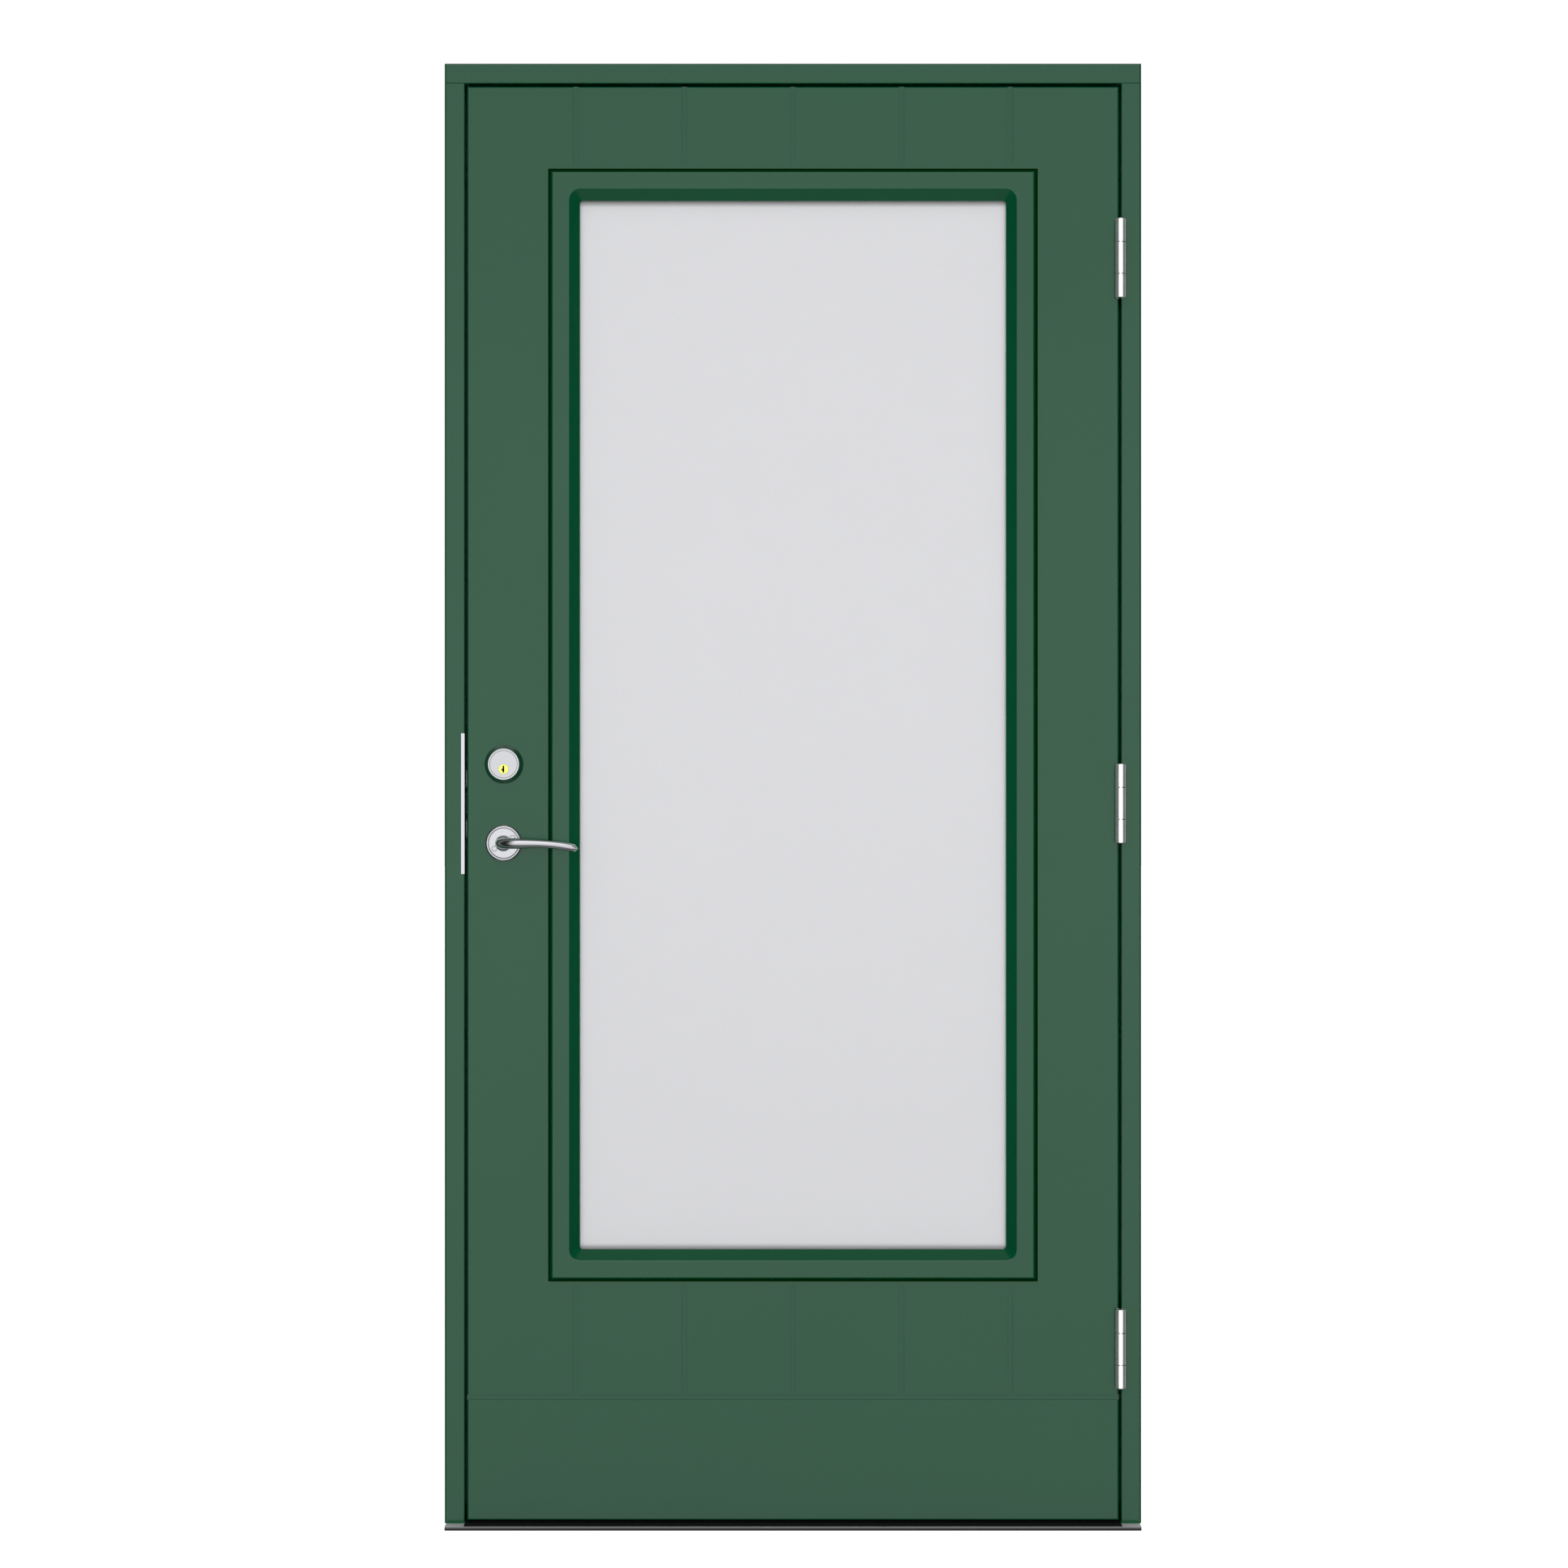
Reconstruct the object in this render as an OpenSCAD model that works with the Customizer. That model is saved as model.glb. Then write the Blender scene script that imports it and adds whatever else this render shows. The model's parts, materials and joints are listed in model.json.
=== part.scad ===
// Glazed front door with its frame: one outward-opening leaf, hinged on the right as seen from outside.
// Millimetres. +X runs to the hinge side, +Y runs indoors, +Z is up.
// The origin is the middle of the sill's underside, at half the frame's depth.

/* [Frame] */
// Outer width of the frame
frame_w = 990; // [890:10:1190]
// Outer height of the frame, from the sill's underside to the head's top
frame_h = 2080; // [1980:10:2380]
// Depth of jambs and head, from outside face to inside face
frame_d = 105; // [95:1:160]
// Width of jambs and head that shows beside the leaf
face_w = 28.5; // [25:0.5:40]
// How far the stop stands out behind the leaf
stop_w = 17; // [15:1:24]
// Chamfer on the outer arrises of the frame
frame_chamfer = 2.25; // [0.5:0.25:2.5]
// Chamfer on the frame's arrises beside the leaf
rebate_chamfer = 1; // [0.5:0.25:2.5]

/* [Sill] */
// How far the sill stands out in front of the jambs
sill_nose = 24; // [12:1:40]
// How much shorter than the frame the sill is at each end
sill_short = 2; // [0:0.5:4]
// Thickness of the sealing pad under the sill
pad_t = 2; // [1:0.5:3]
// Thickness of the aluminium sill plate
plate_t = 3.5; // [3.5:0.5:8]
// Radius of the sill plate's front edge
nose_r = 1.75; // [1:0.25:1.75]
// Thickness of the tread inlay
tread_t = 2.4; // [1.5:0.1:3]
// Width of the metal edge in front of the tread
tread_lip = 1.2; // [0.8:0.2:3]
// Spacing of the tread's ribs
rib_pitch = 6; // [4:0.5:10]
// Depth of the channels between the ribs
rib_depth = 0.8; // [0.4:0.1:1.2]
// Width of the flat top of the upstand behind the leaf
upstand_flat = 22; // [19:1:25]
// Height of the upstand at its inside edge, above the sill plate
upstand_low = 6; // [3:1:10]

/* [Weatherstrip] */
// Space between leaf and stop that the weatherstrip fills
seal_gap = 4; // [3:0.5:6]
// Width of the weatherstrip
seal_w = 10; // [7:0.5:11]
// Distance from the stop's edge to the weatherstrip
seal_inset = 3; // [2:0.5:4]
// Width of the weatherstrip's foot in its kerf
kerf_w = 3; // [2:0.5:4]
// Depth of the kerf
kerf_d = 6; // [4:0.5:9]

/* [Leaf] */
// Thickness of the leaf
leaf_t = 60; // [58:1:72]
// Gap on both sides of the leaf
leaf_gap = 3.5; // [3.5:0.5:5]
// Gap above and below the leaf
end_gap = 4.5; // [3.5:0.5:6]
// Thickness of the outer and inner boards
skin_t = 6; // [5:0.5:8]
// Chamfer on the leaf's outside arrises
leaf_chamfer = 2; // [1:0.25:3]
// Number of planks that the upright grooves draw
plank_count = 6; // [3:1:9]
// Width of the grooves
groove_w = 7.5; // [5:0.5:10]
// Depth of the grooves
groove_d = 2; // [1:0.25:3]
// Distance from the upright grooves' ends to the outer glazing frame
groove_stop = 10; // [4:0.5:15]
// Height of the plain board below the cross groove
kick_h = 171; // [140:1:210]
// Width of the stile that holds the lock
lock_stile_w = 95; // [92:1:105]
// Width of the stile that holds the hinges
hinge_stile_w = 60; // [50:1:90]
// Height of the top rail
top_rail_h = 60; // [50:1:85]
// Height of the bottom rail
bottom_rail_h = 80; // [60:1:140]

/* [Glazing] */
// From the leaf's side edge to the visible glass
glass_side = 160; // [156:0.5:190]
// From the leaf's top edge to the visible glass
glass_top = 161.5; // [150:0.5:300]
// From the leaf's bottom edge to the visible glass
glass_bottom = 384; // [300:0.5:600]
// From the leaf's outside face back to the glass
glass_set = 14; // [10:0.5:14.5]
// Thickness of one pane
pane_t = 4; // [3:0.5:4]
// Space between two panes
pane_gap = 12; // [10:0.5:12]
// Width of the spacer between two panes
spacer_w = 11; // [7:0.5:12]
// How far the glazing frames cover the glass
glass_cover = 13; // [12:0.5:16]
// Space between the glass and the cutout in the leaf
glass_clear = 5; // [4:0.5:6]
// Thickness of the seals on both sides of the glass
glass_seal_t = 2; // [1.5:0.25:2.5]
// Length of a setting block
block_l = 100; // [60:5:140]
// Thickness of the battens round the cutout
liner_t = 25; // [20:1:27]

/* [Glazing frames] */
// Width of the sloped inner face
slope_w = 14.5; // [9:0.5:16]
// Depth of the sloped inner face
slope_d = 14.5; // [10:0.5:15]
// Width of the flat face
flat_w = 24; // [22:0.5:30]
// Width of the outer bevel
bevel_w = 3.25; // [2.5:0.25:8]
// How far the glazing frames stand out from the leaf
trim_rise = 9; // [7:0.25:11]
// Width of the shadow groove in the leaf round the outer glazing frame
quirk_w = 3; // [1:0.25:3.5]
// Depth of the shadow groove
quirk_d = 4; // [1.5:0.25:4]
// Corner radius at the front of the sloped face
slope_r = 15; // [8:0.5:20]
// Corner radius at the glass
sight_r = 4.5; // [3:0.5:8]
// Gap between the glazing frames and the cutout
trim_fit = 0.5; // [0.2:0.1:1]
// Shaft radius of the glazing screws
glazing_screw_r = 1.6; // [1.25:0.05:2]
// Length of the glazing screws
glazing_screw_l = 36; // [25:1:45]

/* [Hinges] */
// From the leaf's end to the middle of the nearest hinge
hinge_inset = 245; // [150:1:350]
// Height of a hinge with its caps
hinge_h = 112; // [90:1:140]
// Diameter of the knuckles
knuckle_d = 15; // [12:0.5:18]
// Height of the leaf's knuckle
knuckle_h = 44; // [30:1:60]
// Gap between two knuckles
knuckle_gap = 1.2; // [0.4:0.1:1.5]
// Gap between the knuckles and the faces behind them
knuckle_stand = 1; // [0.75:0.25:3]
// Diameter of the hinge pin
pin_d = 8; // [6:0.5:8.5]
// Running clearance of pins and shafts in their bores
run_fit = 0.05; // [0.02:0.01:0.1]
// Thickness of the pin's caps
cap_t = 1.2; // [0.8:0.2:3]
// Thickness of the hinge plates
hinge_t = 3; // [2.5:0.25:4]
// Width of the hinge plates let into the wood
hinge_w = 32; // [28:1:40]
// Shaft radius of the hinge screws
hinge_screw_r = 2.2; // [1.75:0.05:2.5]
// Length of the hinge screws in the jamb
jamb_screw_l = 24; // [18:1:24]
// Length of the hinge screws in the leaf
stile_screw_l = 40; // [25:1:45]

/* [Lock] */
// Height of the handle above the floor
handle_z = 972; // [900:1:1050]
// From the leaf's edge to the handle and cylinder
backset = 52.5; // [50:0.5:54]
// From the handle up to the key and turn knob
key_rise = 105; // [100:0.5:106]
// From the handle up to the latch
latch_rise = 56; // [52:0.5:58]
// From the latch up to the deadbolt
bolt_rise = 36; // [34:0.5:37]
// Height of the lock case
case_h = 170; // [160:1:190]
// Depth of the lock case behind the faceplate
case_l = 77; // [76:0.5:82]
// Thickness of the lock case
case_t = 15; // [14:0.5:18]
// Wall of the lock case
case_wall = 1.5; // [1:0.25:2]
// Thickness of the faceplate
faceplate_t = 3; // [2:0.25:4]
// Height of the faceplate
faceplate_h = 230; // [225:1:260]
// Width of the faceplate
faceplate_w = 22; // [20:0.5:28]
// Clearance of the sliding bolts and the lock in their openings
slide_fit = 0.3; // [0.2:0.05:0.4]
// How far the latch stands out and slides back
latch_throw = 12; // [10:0.5:12]
// Height of the latch
latch_h = 24; // [18:0.5:26]
// How far the deadbolt slides out
bolt_throw = 20; // [18:0.5:20]
// Height of the deadbolt
bolt_h = 20; // [18:0.5:21]
// Radius of the hubs that the handle and the turn knob drive
hub_r = 8; // [7.75:0.05:8.25]
// Radius of the hubs' bearings in the lock case
journal_r = 7; // [6.5:0.1:7.4]
// Side of the square spindle
spindle_w = 8; // [7:0.25:8]
// Thickness of the fingers and tails inside the lock
finger_t = 4; // [3:0.25:5]
// Wire diameter of the latch spring
wire_d = 0.8; // [0.6:0.1:1]
// Number of turns of the latch spring
spring_turns = 7; // [5:1:9]

/* [Strike] */
// Height of the strike plate
strike_h = 200; // [190:1:230]
// Thickness of the strike plate
strike_t = 3; // [2:0.25:3.5]
// Width of the strike plate in the rebate
strike_w = 50; // [44:1:56]
// Width of the strike's lip on the jamb's face
lip_w = 5; // [4:0.25:8]
// How far the lip stands out from the jamb
lip_proud = 1; // [0.5:0.25:2]
// Wall of the box behind the strike
box_wall = 1.5; // [1:0.25:2]
// Clearance around the bolts in the strike
strike_clear = 2; // [1:0.25:2.5]
// Length of the strike screws
strike_screw_l = 22; // [18:1:24]

/* [Handles] */
// Diameter of the roses
rose_d = 51; // [46:0.5:54]
// Thickness of the roses
rose_t = 8; // [6:0.5:10]
// Radius of the ring groove in the roses
rose_groove_r = 21.5; // [20:0.25:22]
// Distance from the handle's axis to a rose screw
rose_screw_off = 15; // [14:0.25:16]
// Radius of the lever's neck in the rose
neck_r = 10; // [8:0.25:11]
// Radius of the lever's hub in front of the rose
collar_r = 11.5; // [11:0.25:13]
// Length of the lever from its axis to its tip
lever_l = 107; // [95:1:120]
// Distance from the leaf to the middle of the lever
lever_stand = 46; // [40:1:55]
// Radius of the bend from the lever's neck into its bar
lever_bend = 30; // [24:1:34]
// Height of the lever at its root
lever_h = 14.5; // [10:0.1:16]
// How far the tip hangs below the axis
lever_droop = 8.5; // [0:0.5:14]
// How far the tip bends back to the leaf
lever_return = 9; // [0:0.5:15]

/* [Cylinder] */
// Diameter of the cylinder ring at the leaf
ring_d = 55; // [50:0.5:60]
// Diameter of the cylinder ring at its front
ring_front_d = 45; // [42:0.5:48]
// How far the cylinder ring stands out
ring_t = 9.5; // [7:0.5:14]
// Diameter of the cylinder
cyl_d = 38.6; // [36:0.1:40]
// Diameter of the key plug
plug_d = 14; // [12:0.25:16]
// From the key plug up to the middle of the cylinder
plug_drop = 7; // [5:0.25:8]
// Width of the keyway
keyway_w = 2.2; // [1.2:0.1:2.4]
// Diameter of the turn knob's rose
turn_rose_d = 52; // [48:0.5:58]
// Radius of the turn knob's neck
turn_neck_r = 9; // [7:0.25:10]
// Length of the turn knob's grip
grip_l = 36; // [28:1:42]
// Thickness of the turn knob's grip
grip_t = 8; // [6:0.5:11]
// Sideways distance of the cylinder bolts from the key's axis
bolt_side = 11; // [10:0.25:12]
// Height of the cylinder bolts above the key's axis
bolt_up = 16; // [15:0.25:18]

/* [Fixings] */
// Bore radius of the fixing sleeves
sleeve_bore_r = 5.25; // [4:0.25:6]
// Outer radius of the fixing sleeves
sleeve_r = 9; // [7:0.25:10]
// From the frame's outside face back to the fixings
fix_set = 40; // [35:1:48]
// From the leaf's end to the outer fixings
fix_inset = 117; // [60:1:140]
// From the leaf's middle to the inner fixings
fix_mid = 330; // [280:5:420]
// Shaft radius of the corner screws
corner_screw_r = 2.5; // [2:0.1:3]
// Length of the corner screws
corner_screw_l = 90; // [60:1:110]

/* [Hidden] */
$fn = 64;
eps = 0.01;
cut = 1;
wood_fit = 0.2;
paint = "#40614f";
slope_paint = "#1b4c32";
black = "#161816";
steel = "#d4d6d9";
dark_steel = "#8b8f93";
brass = "#e8d670";
timber = "#c8a46e";
glass = "#dbdbdd";

front_y = -frame_d / 2;
back_y = frame_d / 2;
open_w = frame_w - 2 * face_w;
stop_x = open_w / 2 - stop_w;
sill_top = pad_t + plate_t;
sill_y = front_y - sill_nose;
sill_x = frame_w / 2 - sill_short;
head_z = frame_h - face_w;

leaf_w = open_w - 2 * leaf_gap;
leaf_z0 = sill_top + end_gap;
leaf_z1 = head_z - end_gap;
leaf_h = leaf_z1 - leaf_z0;
leaf_mid_z = (leaf_z0 + leaf_z1) / 2;
leaf_y0 = front_y;
leaf_y1 = leaf_y0 + leaf_t;
core_y0 = leaf_y0 + skin_t;
core_y1 = leaf_y1 - skin_t;
stop_y = leaf_y1 + seal_gap;
seal_slack = 0.3;
seal_x = stop_x + seal_inset + seal_w / 2;
seal_z0 = sill_top + stop_w - seal_inset - seal_w / 2;
seal_z1 = head_z - stop_w + seal_inset + seal_w / 2;

sight_w = leaf_w - 2 * glass_side;
sight_z0 = leaf_z0 + glass_bottom;
sight_z1 = leaf_z1 - glass_top;
sight_h = sight_z1 - sight_z0;
sight_z = (sight_z0 + sight_z1) / 2;
trim_over = slope_w + flat_w + bevel_w;
trim_land = 0.5;
cut_over = glass_cover + glass_clear;
glass_y0 = leaf_y0 + glass_set;
glass_y1 = glass_y0 + 3 * pane_t + 2 * pane_gap;
screw_over = slope_w + flat_w / 2;

hinge_x = leaf_w / 2 + leaf_gap / 2;
hinge_y = front_y - knuckle_stand - knuckle_d / 2;
hinge_zs = [leaf_z0 + hinge_inset, leaf_mid_z, leaf_z1 - hinge_inset];
side_knuckle_h = (hinge_h - 2 * cap_t - knuckle_h - 2 * knuckle_gap) / 2;

lock_x = -leaf_w / 2 + backset;
lock_y = (leaf_y0 + leaf_y1) / 2;
latch_z = handle_z + latch_rise;
bolt_z = latch_z + bolt_rise;
key_z = handle_z + key_rise;
cyl_z = key_z + plug_drop;
case_x0 = -leaf_w / 2 + faceplate_t;
case_x1 = case_x0 + case_l;
inner_t = case_t - 2 * case_wall;
bolt_t = inner_t - 2 * slide_fit;

finger_r = 2.5;
finger_reach = 16;
finger_play = 0.6;
hook_x = lock_x + finger_r + finger_play;
hook_w = 6;
hook_drop = hub_r + finger_play;
rod_r = 2.5;
latch_back = case_x0 + 13;
guide_t = 3;
guide_x = latch_back + 21;
spring_r = 4;
arm_reach = bolt_throw / sqrt(2);
arm_r = 1.6;
arm_tip_r = 2.4;
notch_half = 4.8;
tail_end = lock_x + arm_reach / sqrt(2) + notch_half + 3;
tail_top = key_z - hub_r - 1;
key_pocket_r = 5;

strike_x = -open_w / 2;
box_x = strike_x - strike_t;
box_l = bolt_throw - leaf_gap - strike_t + strike_clear + box_wall;
box_half_h = bolt_rise + bolt_h / 2 + strike_clear + box_wall + 4;
box_half_w = bolt_t / 2 + strike_clear + box_wall;

neck_gap = 0.5;
socket_l = 22;
rose_screw_tilt = 31;
rose_screw_r = 1.75;
rose_screw_l = 24;
ring_gap = 0.35;
cyl_back = lock_y - case_t / 2 - slide_fit;
bolt_shaft_r = 2.4;

fix_y = front_y + fix_set;
fix_zs = [leaf_z0 + fix_inset, leaf_mid_z - fix_mid, leaf_mid_z + fix_mid, leaf_z1 - fix_inset];

// A box between two corners
module span(x0, x1, y0, y1, z0, z1) {
    translate([x0, y0, z0])
        cube([x1 - x0, y1 - y0, z1 - z0]);
}

// A cylinder along Y from y0 to y1
module rod_y(x, z, r, y0, y1) {
    translate([x, y0, z])
        rotate([-90, 0, 0])
            cylinder(h = y1 - y0, r = r);
}

// A cylinder along X from x0 to x1
module rod_x(y, z, r, x0, x1) {
    translate([x0, y, z])
        rotate([0, 90, 0])
            cylinder(h = x1 - x0, r = r);
}

// An outline in Y and Z, run along X
module along_x(length) {
    rotate([90, 0, 90])
        translate([0, 0, -length / 2])
            linear_extrude(length)
                children();
}

// Half a turn of a corner: takes the arris off an edge that runs along Z through the origin
module arris(c, length) {
    rotate([0, 0, 45])
        cube([c * sqrt(2), c * sqrt(2), length], center = true);
}

// The children once as they are and once mirrored to the inside of the leaf
module to_inside() {
    translate([0, 2 * lock_y, 0])
        mirror([0, 1, 0])
            children();
}

// A rectangular ring in the door's plane: half widths are measured to the middle of the ring
module ring_y(half_w, z0, z1, w, y0, y1) {
    difference() {
        span(-half_w - w / 2, half_w + w / 2, y0, y1, z0 - w / 2, z1 + w / 2);
        span(-half_w + w / 2, half_w - w / 2, y0 - cut, y1 + cut, z0 + w / 2, z1 - w / 2);
    }
}

// A rectangle round the visible glass, grown by over on each side
module glass_rect(over, y0, y1) {
    span(-sight_w / 2 - over, sight_w / 2 + over, y0, y1, sight_z0 - over, sight_z1 + over);
}

// A ring round the visible glass between two distances
module glass_ring(inner, outer, y0, y1) {
    difference() {
        glass_rect(outer, y0, y1);
        glass_rect(inner, y0 - cut, y1 + cut);
    }
}

// A countersunk screw whose head is flush with z = 0 and whose point is at z = -length
module flat_screw(r, length, grow = 0) {
    head_r = 2 * r;
    translate([0, 0, -head_r + r])
        cylinder(h = head_r - r + grow, r1 = r + grow, r2 = head_r + grow);
    translate([0, 0, -length])
        cylinder(h = length, r = r + grow);
}

// A cross recess for a screw head of radius r
module cross_recess(r) {
    arm = 0.9 * r;
    slot = 0.22 * r;
    depth = 0.45 * r;
    for (turn = [0, 90])
        rotate([0, 0, turn])
            translate([-arm / 2, -slot / 2, -depth])
                cube([arm, slot, depth + cut]);
}

// A countersunk screw with its cross recess
module cross_screw(r, length) {
    difference() {
        flat_screw(r, length);
        cross_recess(2 * r);
    }
}

// Places for the hinge screws on one plate, along X with their heads towards the leaf gap
module hinge_screw_places(z, x, into) {
    for (up = [-1, 1], column = [0, 1])
        translate([x, front_y + hinge_w * (0.35 + 0.35 * column), z + up * hinge_h * (0.14 + 0.24 * column)])
            rotate([0, -90 * into, 0])
                children();
}

// Places for the strike screws, with their heads towards the leaf gap
module strike_screw_places() {
    for (up = [-1, 1], far = [0, 1])
        translate([strike_x, lock_y, latch_z + up * (box_half_h + 10 + far * (strike_h / 2 - box_half_h - 19))])
            rotate([0, 90, 0])
                children();
}

// Places for the corner screws: through the head from above, and through the sill from below
module corner_screw_places() {
    for (side = [-1, 1], back = [-1, 1]) {
        x = side * (frame_w - face_w) / 2;
        y = back * frame_d * 0.3;
        translate([x, y, frame_h])
            children();
        translate([x, y, pad_t])
            rotate([180, 0, 0])
                children();
    }
}

// Places for the glazing screws, with their heads towards the room
module glazing_screw_places() {
    half_w = sight_w / 2 + screw_over;
    half_h = sight_h / 2 + screw_over;
    y = leaf_y1 + trim_rise;
    for (side = [-1, 1], step = [-2:2])
        translate([side * half_w, y, sight_z + step * half_h * 0.46])
            rotate([-90, 0, 0])
                children();
    for (side = [-1, 1], step = [-1:1])
        translate([step * half_w * 0.6, y, sight_z + side * half_h])
            rotate([-90, 0, 0])
                children();
}

// Places for the rose screws, with their heads outdoors
module rose_screw_places() {
    for (turn = [0, 180])
        translate([lock_x, leaf_y0 - rose_t, handle_z])
            rotate([0, turn - rose_screw_tilt, 0])
                translate([rose_screw_off, 0, 0])
                    rotate([90, 0, 0])
                        children();
}

// Places for the faceplate screws, midway between the ends of the case and of the faceplate, with their heads
// towards the lock jamb
module faceplate_screw_places() {
    for (up = [-1, 1])
        translate([-leaf_w / 2, lock_y, latch_z + up * (faceplate_h + case_h) / 4])
            rotate([0, -90, 0])
                children();
}

// Places for the cylinder bolts, with their heads towards the room
module cylinder_bolt_places() {
    for (side = [-1, 1])
        translate([lock_x + side * bolt_side, leaf_y1 + rose_t, key_z + bolt_up])
            rotate([-90, 0, 0])
                children();
}

// Kerf for the weatherstrip's foot, all the way round
module seal_kerf() {
    ring_y(seal_x, seal_z0, seal_z1, kerf_w, stop_y - eps, stop_y + kerf_d);
}

// A jamb on the hinge side, before its cuts
module jamb_blank() {
    c = frame_chamfer;
    r = rebate_chamfer;
    translate([0, 0, sill_top])
        linear_extrude(head_z - sill_top)
            polygon([
                [frame_w / 2, front_y + c], [frame_w / 2, back_y], [stop_x, back_y], [stop_x, stop_y],
                [open_w / 2, stop_y], [open_w / 2, front_y + r], [open_w / 2 + r, front_y],
                [frame_w / 2 - c, front_y]
            ]);
}

// Bores for the fixing sleeves of one jamb
module sleeve_bores(side) {
    for (z = fix_zs)
        rod_x(fix_y, z, sleeve_r, side < 0 ? -frame_w / 2 - cut : open_w / 2 - cut,
            side < 0 ? -open_w / 2 + cut : frame_w / 2 + cut);
}

module lock_jamb() {
    color(paint)
        difference() {
            mirror([1, 0, 0])
                jamb_blank();
            seal_kerf();
            sleeve_bores(-1);
            strike_plate_blank(wood_fit);
            span(box_x - box_l - wood_fit, strike_x, lock_y - box_half_w - wood_fit, lock_y + box_half_w + wood_fit,
                latch_z - box_half_h - wood_fit, latch_z + box_half_h + wood_fit);
            strike_screw_places()
                flat_screw(rose_screw_r, strike_screw_l, run_fit);
            corner_screw_places()
                flat_screw(corner_screw_r, corner_screw_l, run_fit);
        }
}

module hinge_jamb() {
    color(paint)
        difference() {
            jamb_blank();
            seal_kerf();
            sleeve_bores(1);
            for (z = hinge_zs) {
                span(open_w / 2 - cut, open_w / 2 + hinge_t, front_y - cut, front_y + hinge_w, z - hinge_h / 2,
                    z + hinge_h / 2);
                hinge_screw_places(z, open_w / 2, 1)
                    flat_screw(hinge_screw_r, jamb_screw_l, run_fit);
            }
            corner_screw_places()
                flat_screw(corner_screw_r, corner_screw_l, run_fit);
        }
}

module head() {
    c = frame_chamfer;
    r = rebate_chamfer;
    color(paint)
        difference() {
            union() {
                along_x(frame_w)
                    polygon([
                        [front_y, head_z + r], [front_y + r, head_z], [back_y, head_z], [back_y, frame_h],
                        [front_y + c, frame_h], [front_y, frame_h - c]
                    ]);
                span(-stop_x, stop_x, stop_y, back_y, head_z - stop_w, head_z + eps);
            }
            for (side = [-1, 1])
                translate([side * frame_w / 2, front_y, frame_h])
                    arris(c, 3 * face_w);
            seal_kerf();
            corner_screw_places()
                flat_screw(corner_screw_r, corner_screw_l, run_fit);
        }
}

module sill_pad() {
    color(black)
        span(-sill_x, sill_x, sill_y + nose_r / 2, back_y, 0, pad_t);
}

module sill_plate() {
    color(steel)
        difference() {
            union() {
                span(-sill_x, sill_x, sill_y + nose_r, back_y, pad_t, sill_top);
                span(-sill_x, sill_x, sill_y, sill_y + nose_r + eps, pad_t, sill_top - nose_r);
                rod_x(sill_y + nose_r, sill_top - nose_r, nose_r, -sill_x, sill_x);
            }
            span(-open_w / 2, open_w / 2, sill_y + tread_lip + nose_r / 2, stop_y, sill_top - tread_t,
                sill_top + cut);
            corner_screw_places()
                flat_screw(corner_screw_r, corner_screw_l, run_fit);
        }
}

module sill_tread() {
    y0 = sill_y + tread_lip + nose_r / 2;
    ribs = floor((stop_y - y0) / rib_pitch) - 1;
    color(black)
        difference() {
            span(-open_w / 2 + wood_fit, open_w / 2 - wood_fit, y0 + wood_fit, stop_y, sill_top - tread_t, sill_top);
            for (i = [0:ribs])
                span(-open_w / 2, open_w / 2, y0 + (i + 0.5) * rib_pitch, y0 + (i + 0.85) * rib_pitch,
                    sill_top - rib_depth, sill_top + cut);
        }
}

module sill_stop() {
    color(black)
        difference() {
            along_x(2 * stop_x)
                polygon([
                    [stop_y, sill_top], [back_y, sill_top], [back_y, sill_top + upstand_low],
                    [stop_y + upstand_flat, sill_top + stop_w], [stop_y, sill_top + stop_w]
                ]);
            seal_kerf();
        }
}

module frame_gasket() {
    color(black)
        union() {
            ring_y(seal_x, seal_z0, seal_z1, seal_w, leaf_y1 + seal_slack, stop_y);
            ring_y(seal_x, seal_z0, seal_z1, kerf_w, stop_y - eps, stop_y + kerf_d);
        }
}

// The strike's plate and lip before the openings, grown for its recess
module strike_plate_blank(grow = 0) {
    z0 = latch_z - strike_h / 2 - grow;
    z1 = latch_z + strike_h / 2 + grow;
    span(box_x, strike_x + (grow > 0 ? cut : 0), front_y - lip_proud - grow, front_y + strike_w + grow, z0, z1);
    span(strike_x - lip_w - grow, strike_x, front_y - lip_proud - grow, front_y + strike_t - lip_proud, z0, z1);
}

// Openings in the strike for the latch and, above and below, for the deadbolt of either hand
module strike_openings() {
    half_t = bolt_t / 2 + strike_clear;
    for (rise = [-bolt_rise, 0, bolt_rise]) {
        half_h = (rise == 0 ? latch_h : bolt_h) / 2 + strike_clear;
        span(box_x - cut, strike_x + cut, lock_y - half_t, lock_y + half_t, latch_z + rise - half_h,
            latch_z + rise + half_h);
    }
}

module strike_plate() {
    color(steel)
        difference() {
            strike_plate_blank();
            strike_openings();
            strike_screw_places()
                flat_screw(rose_screw_r, strike_screw_l, run_fit);
        }
}

module strike_box() {
    color(black)
        difference() {
            span(box_x - box_l, box_x, lock_y - box_half_w, lock_y + box_half_w, latch_z - box_half_h,
                latch_z + box_half_h);
            span(box_x - box_l + box_wall, box_x + cut, lock_y - box_half_w + box_wall,
                lock_y + box_half_w - box_wall, latch_z - box_half_h + box_wall, latch_z + box_half_h - box_wall);
        }
}

module strike_screws() {
    color(steel)
        strike_screw_places()
            cross_screw(rose_screw_r, strike_screw_l);
}

module fixing_sleeves() {
    color(dark_steel)
        for (side = [-1, 1], z = fix_zs) {
            x0 = side < 0 ? -frame_w / 2 : open_w / 2;
            difference() {
                rod_x(fix_y, z, sleeve_r, x0, x0 + face_w);
                rod_x(fix_y, z, sleeve_bore_r, x0 - cut, x0 + face_w + cut);
            }
        }
}

module corner_screws() {
    color(dark_steel)
        corner_screw_places()
            cross_screw(corner_screw_r, corner_screw_l);
}

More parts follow.
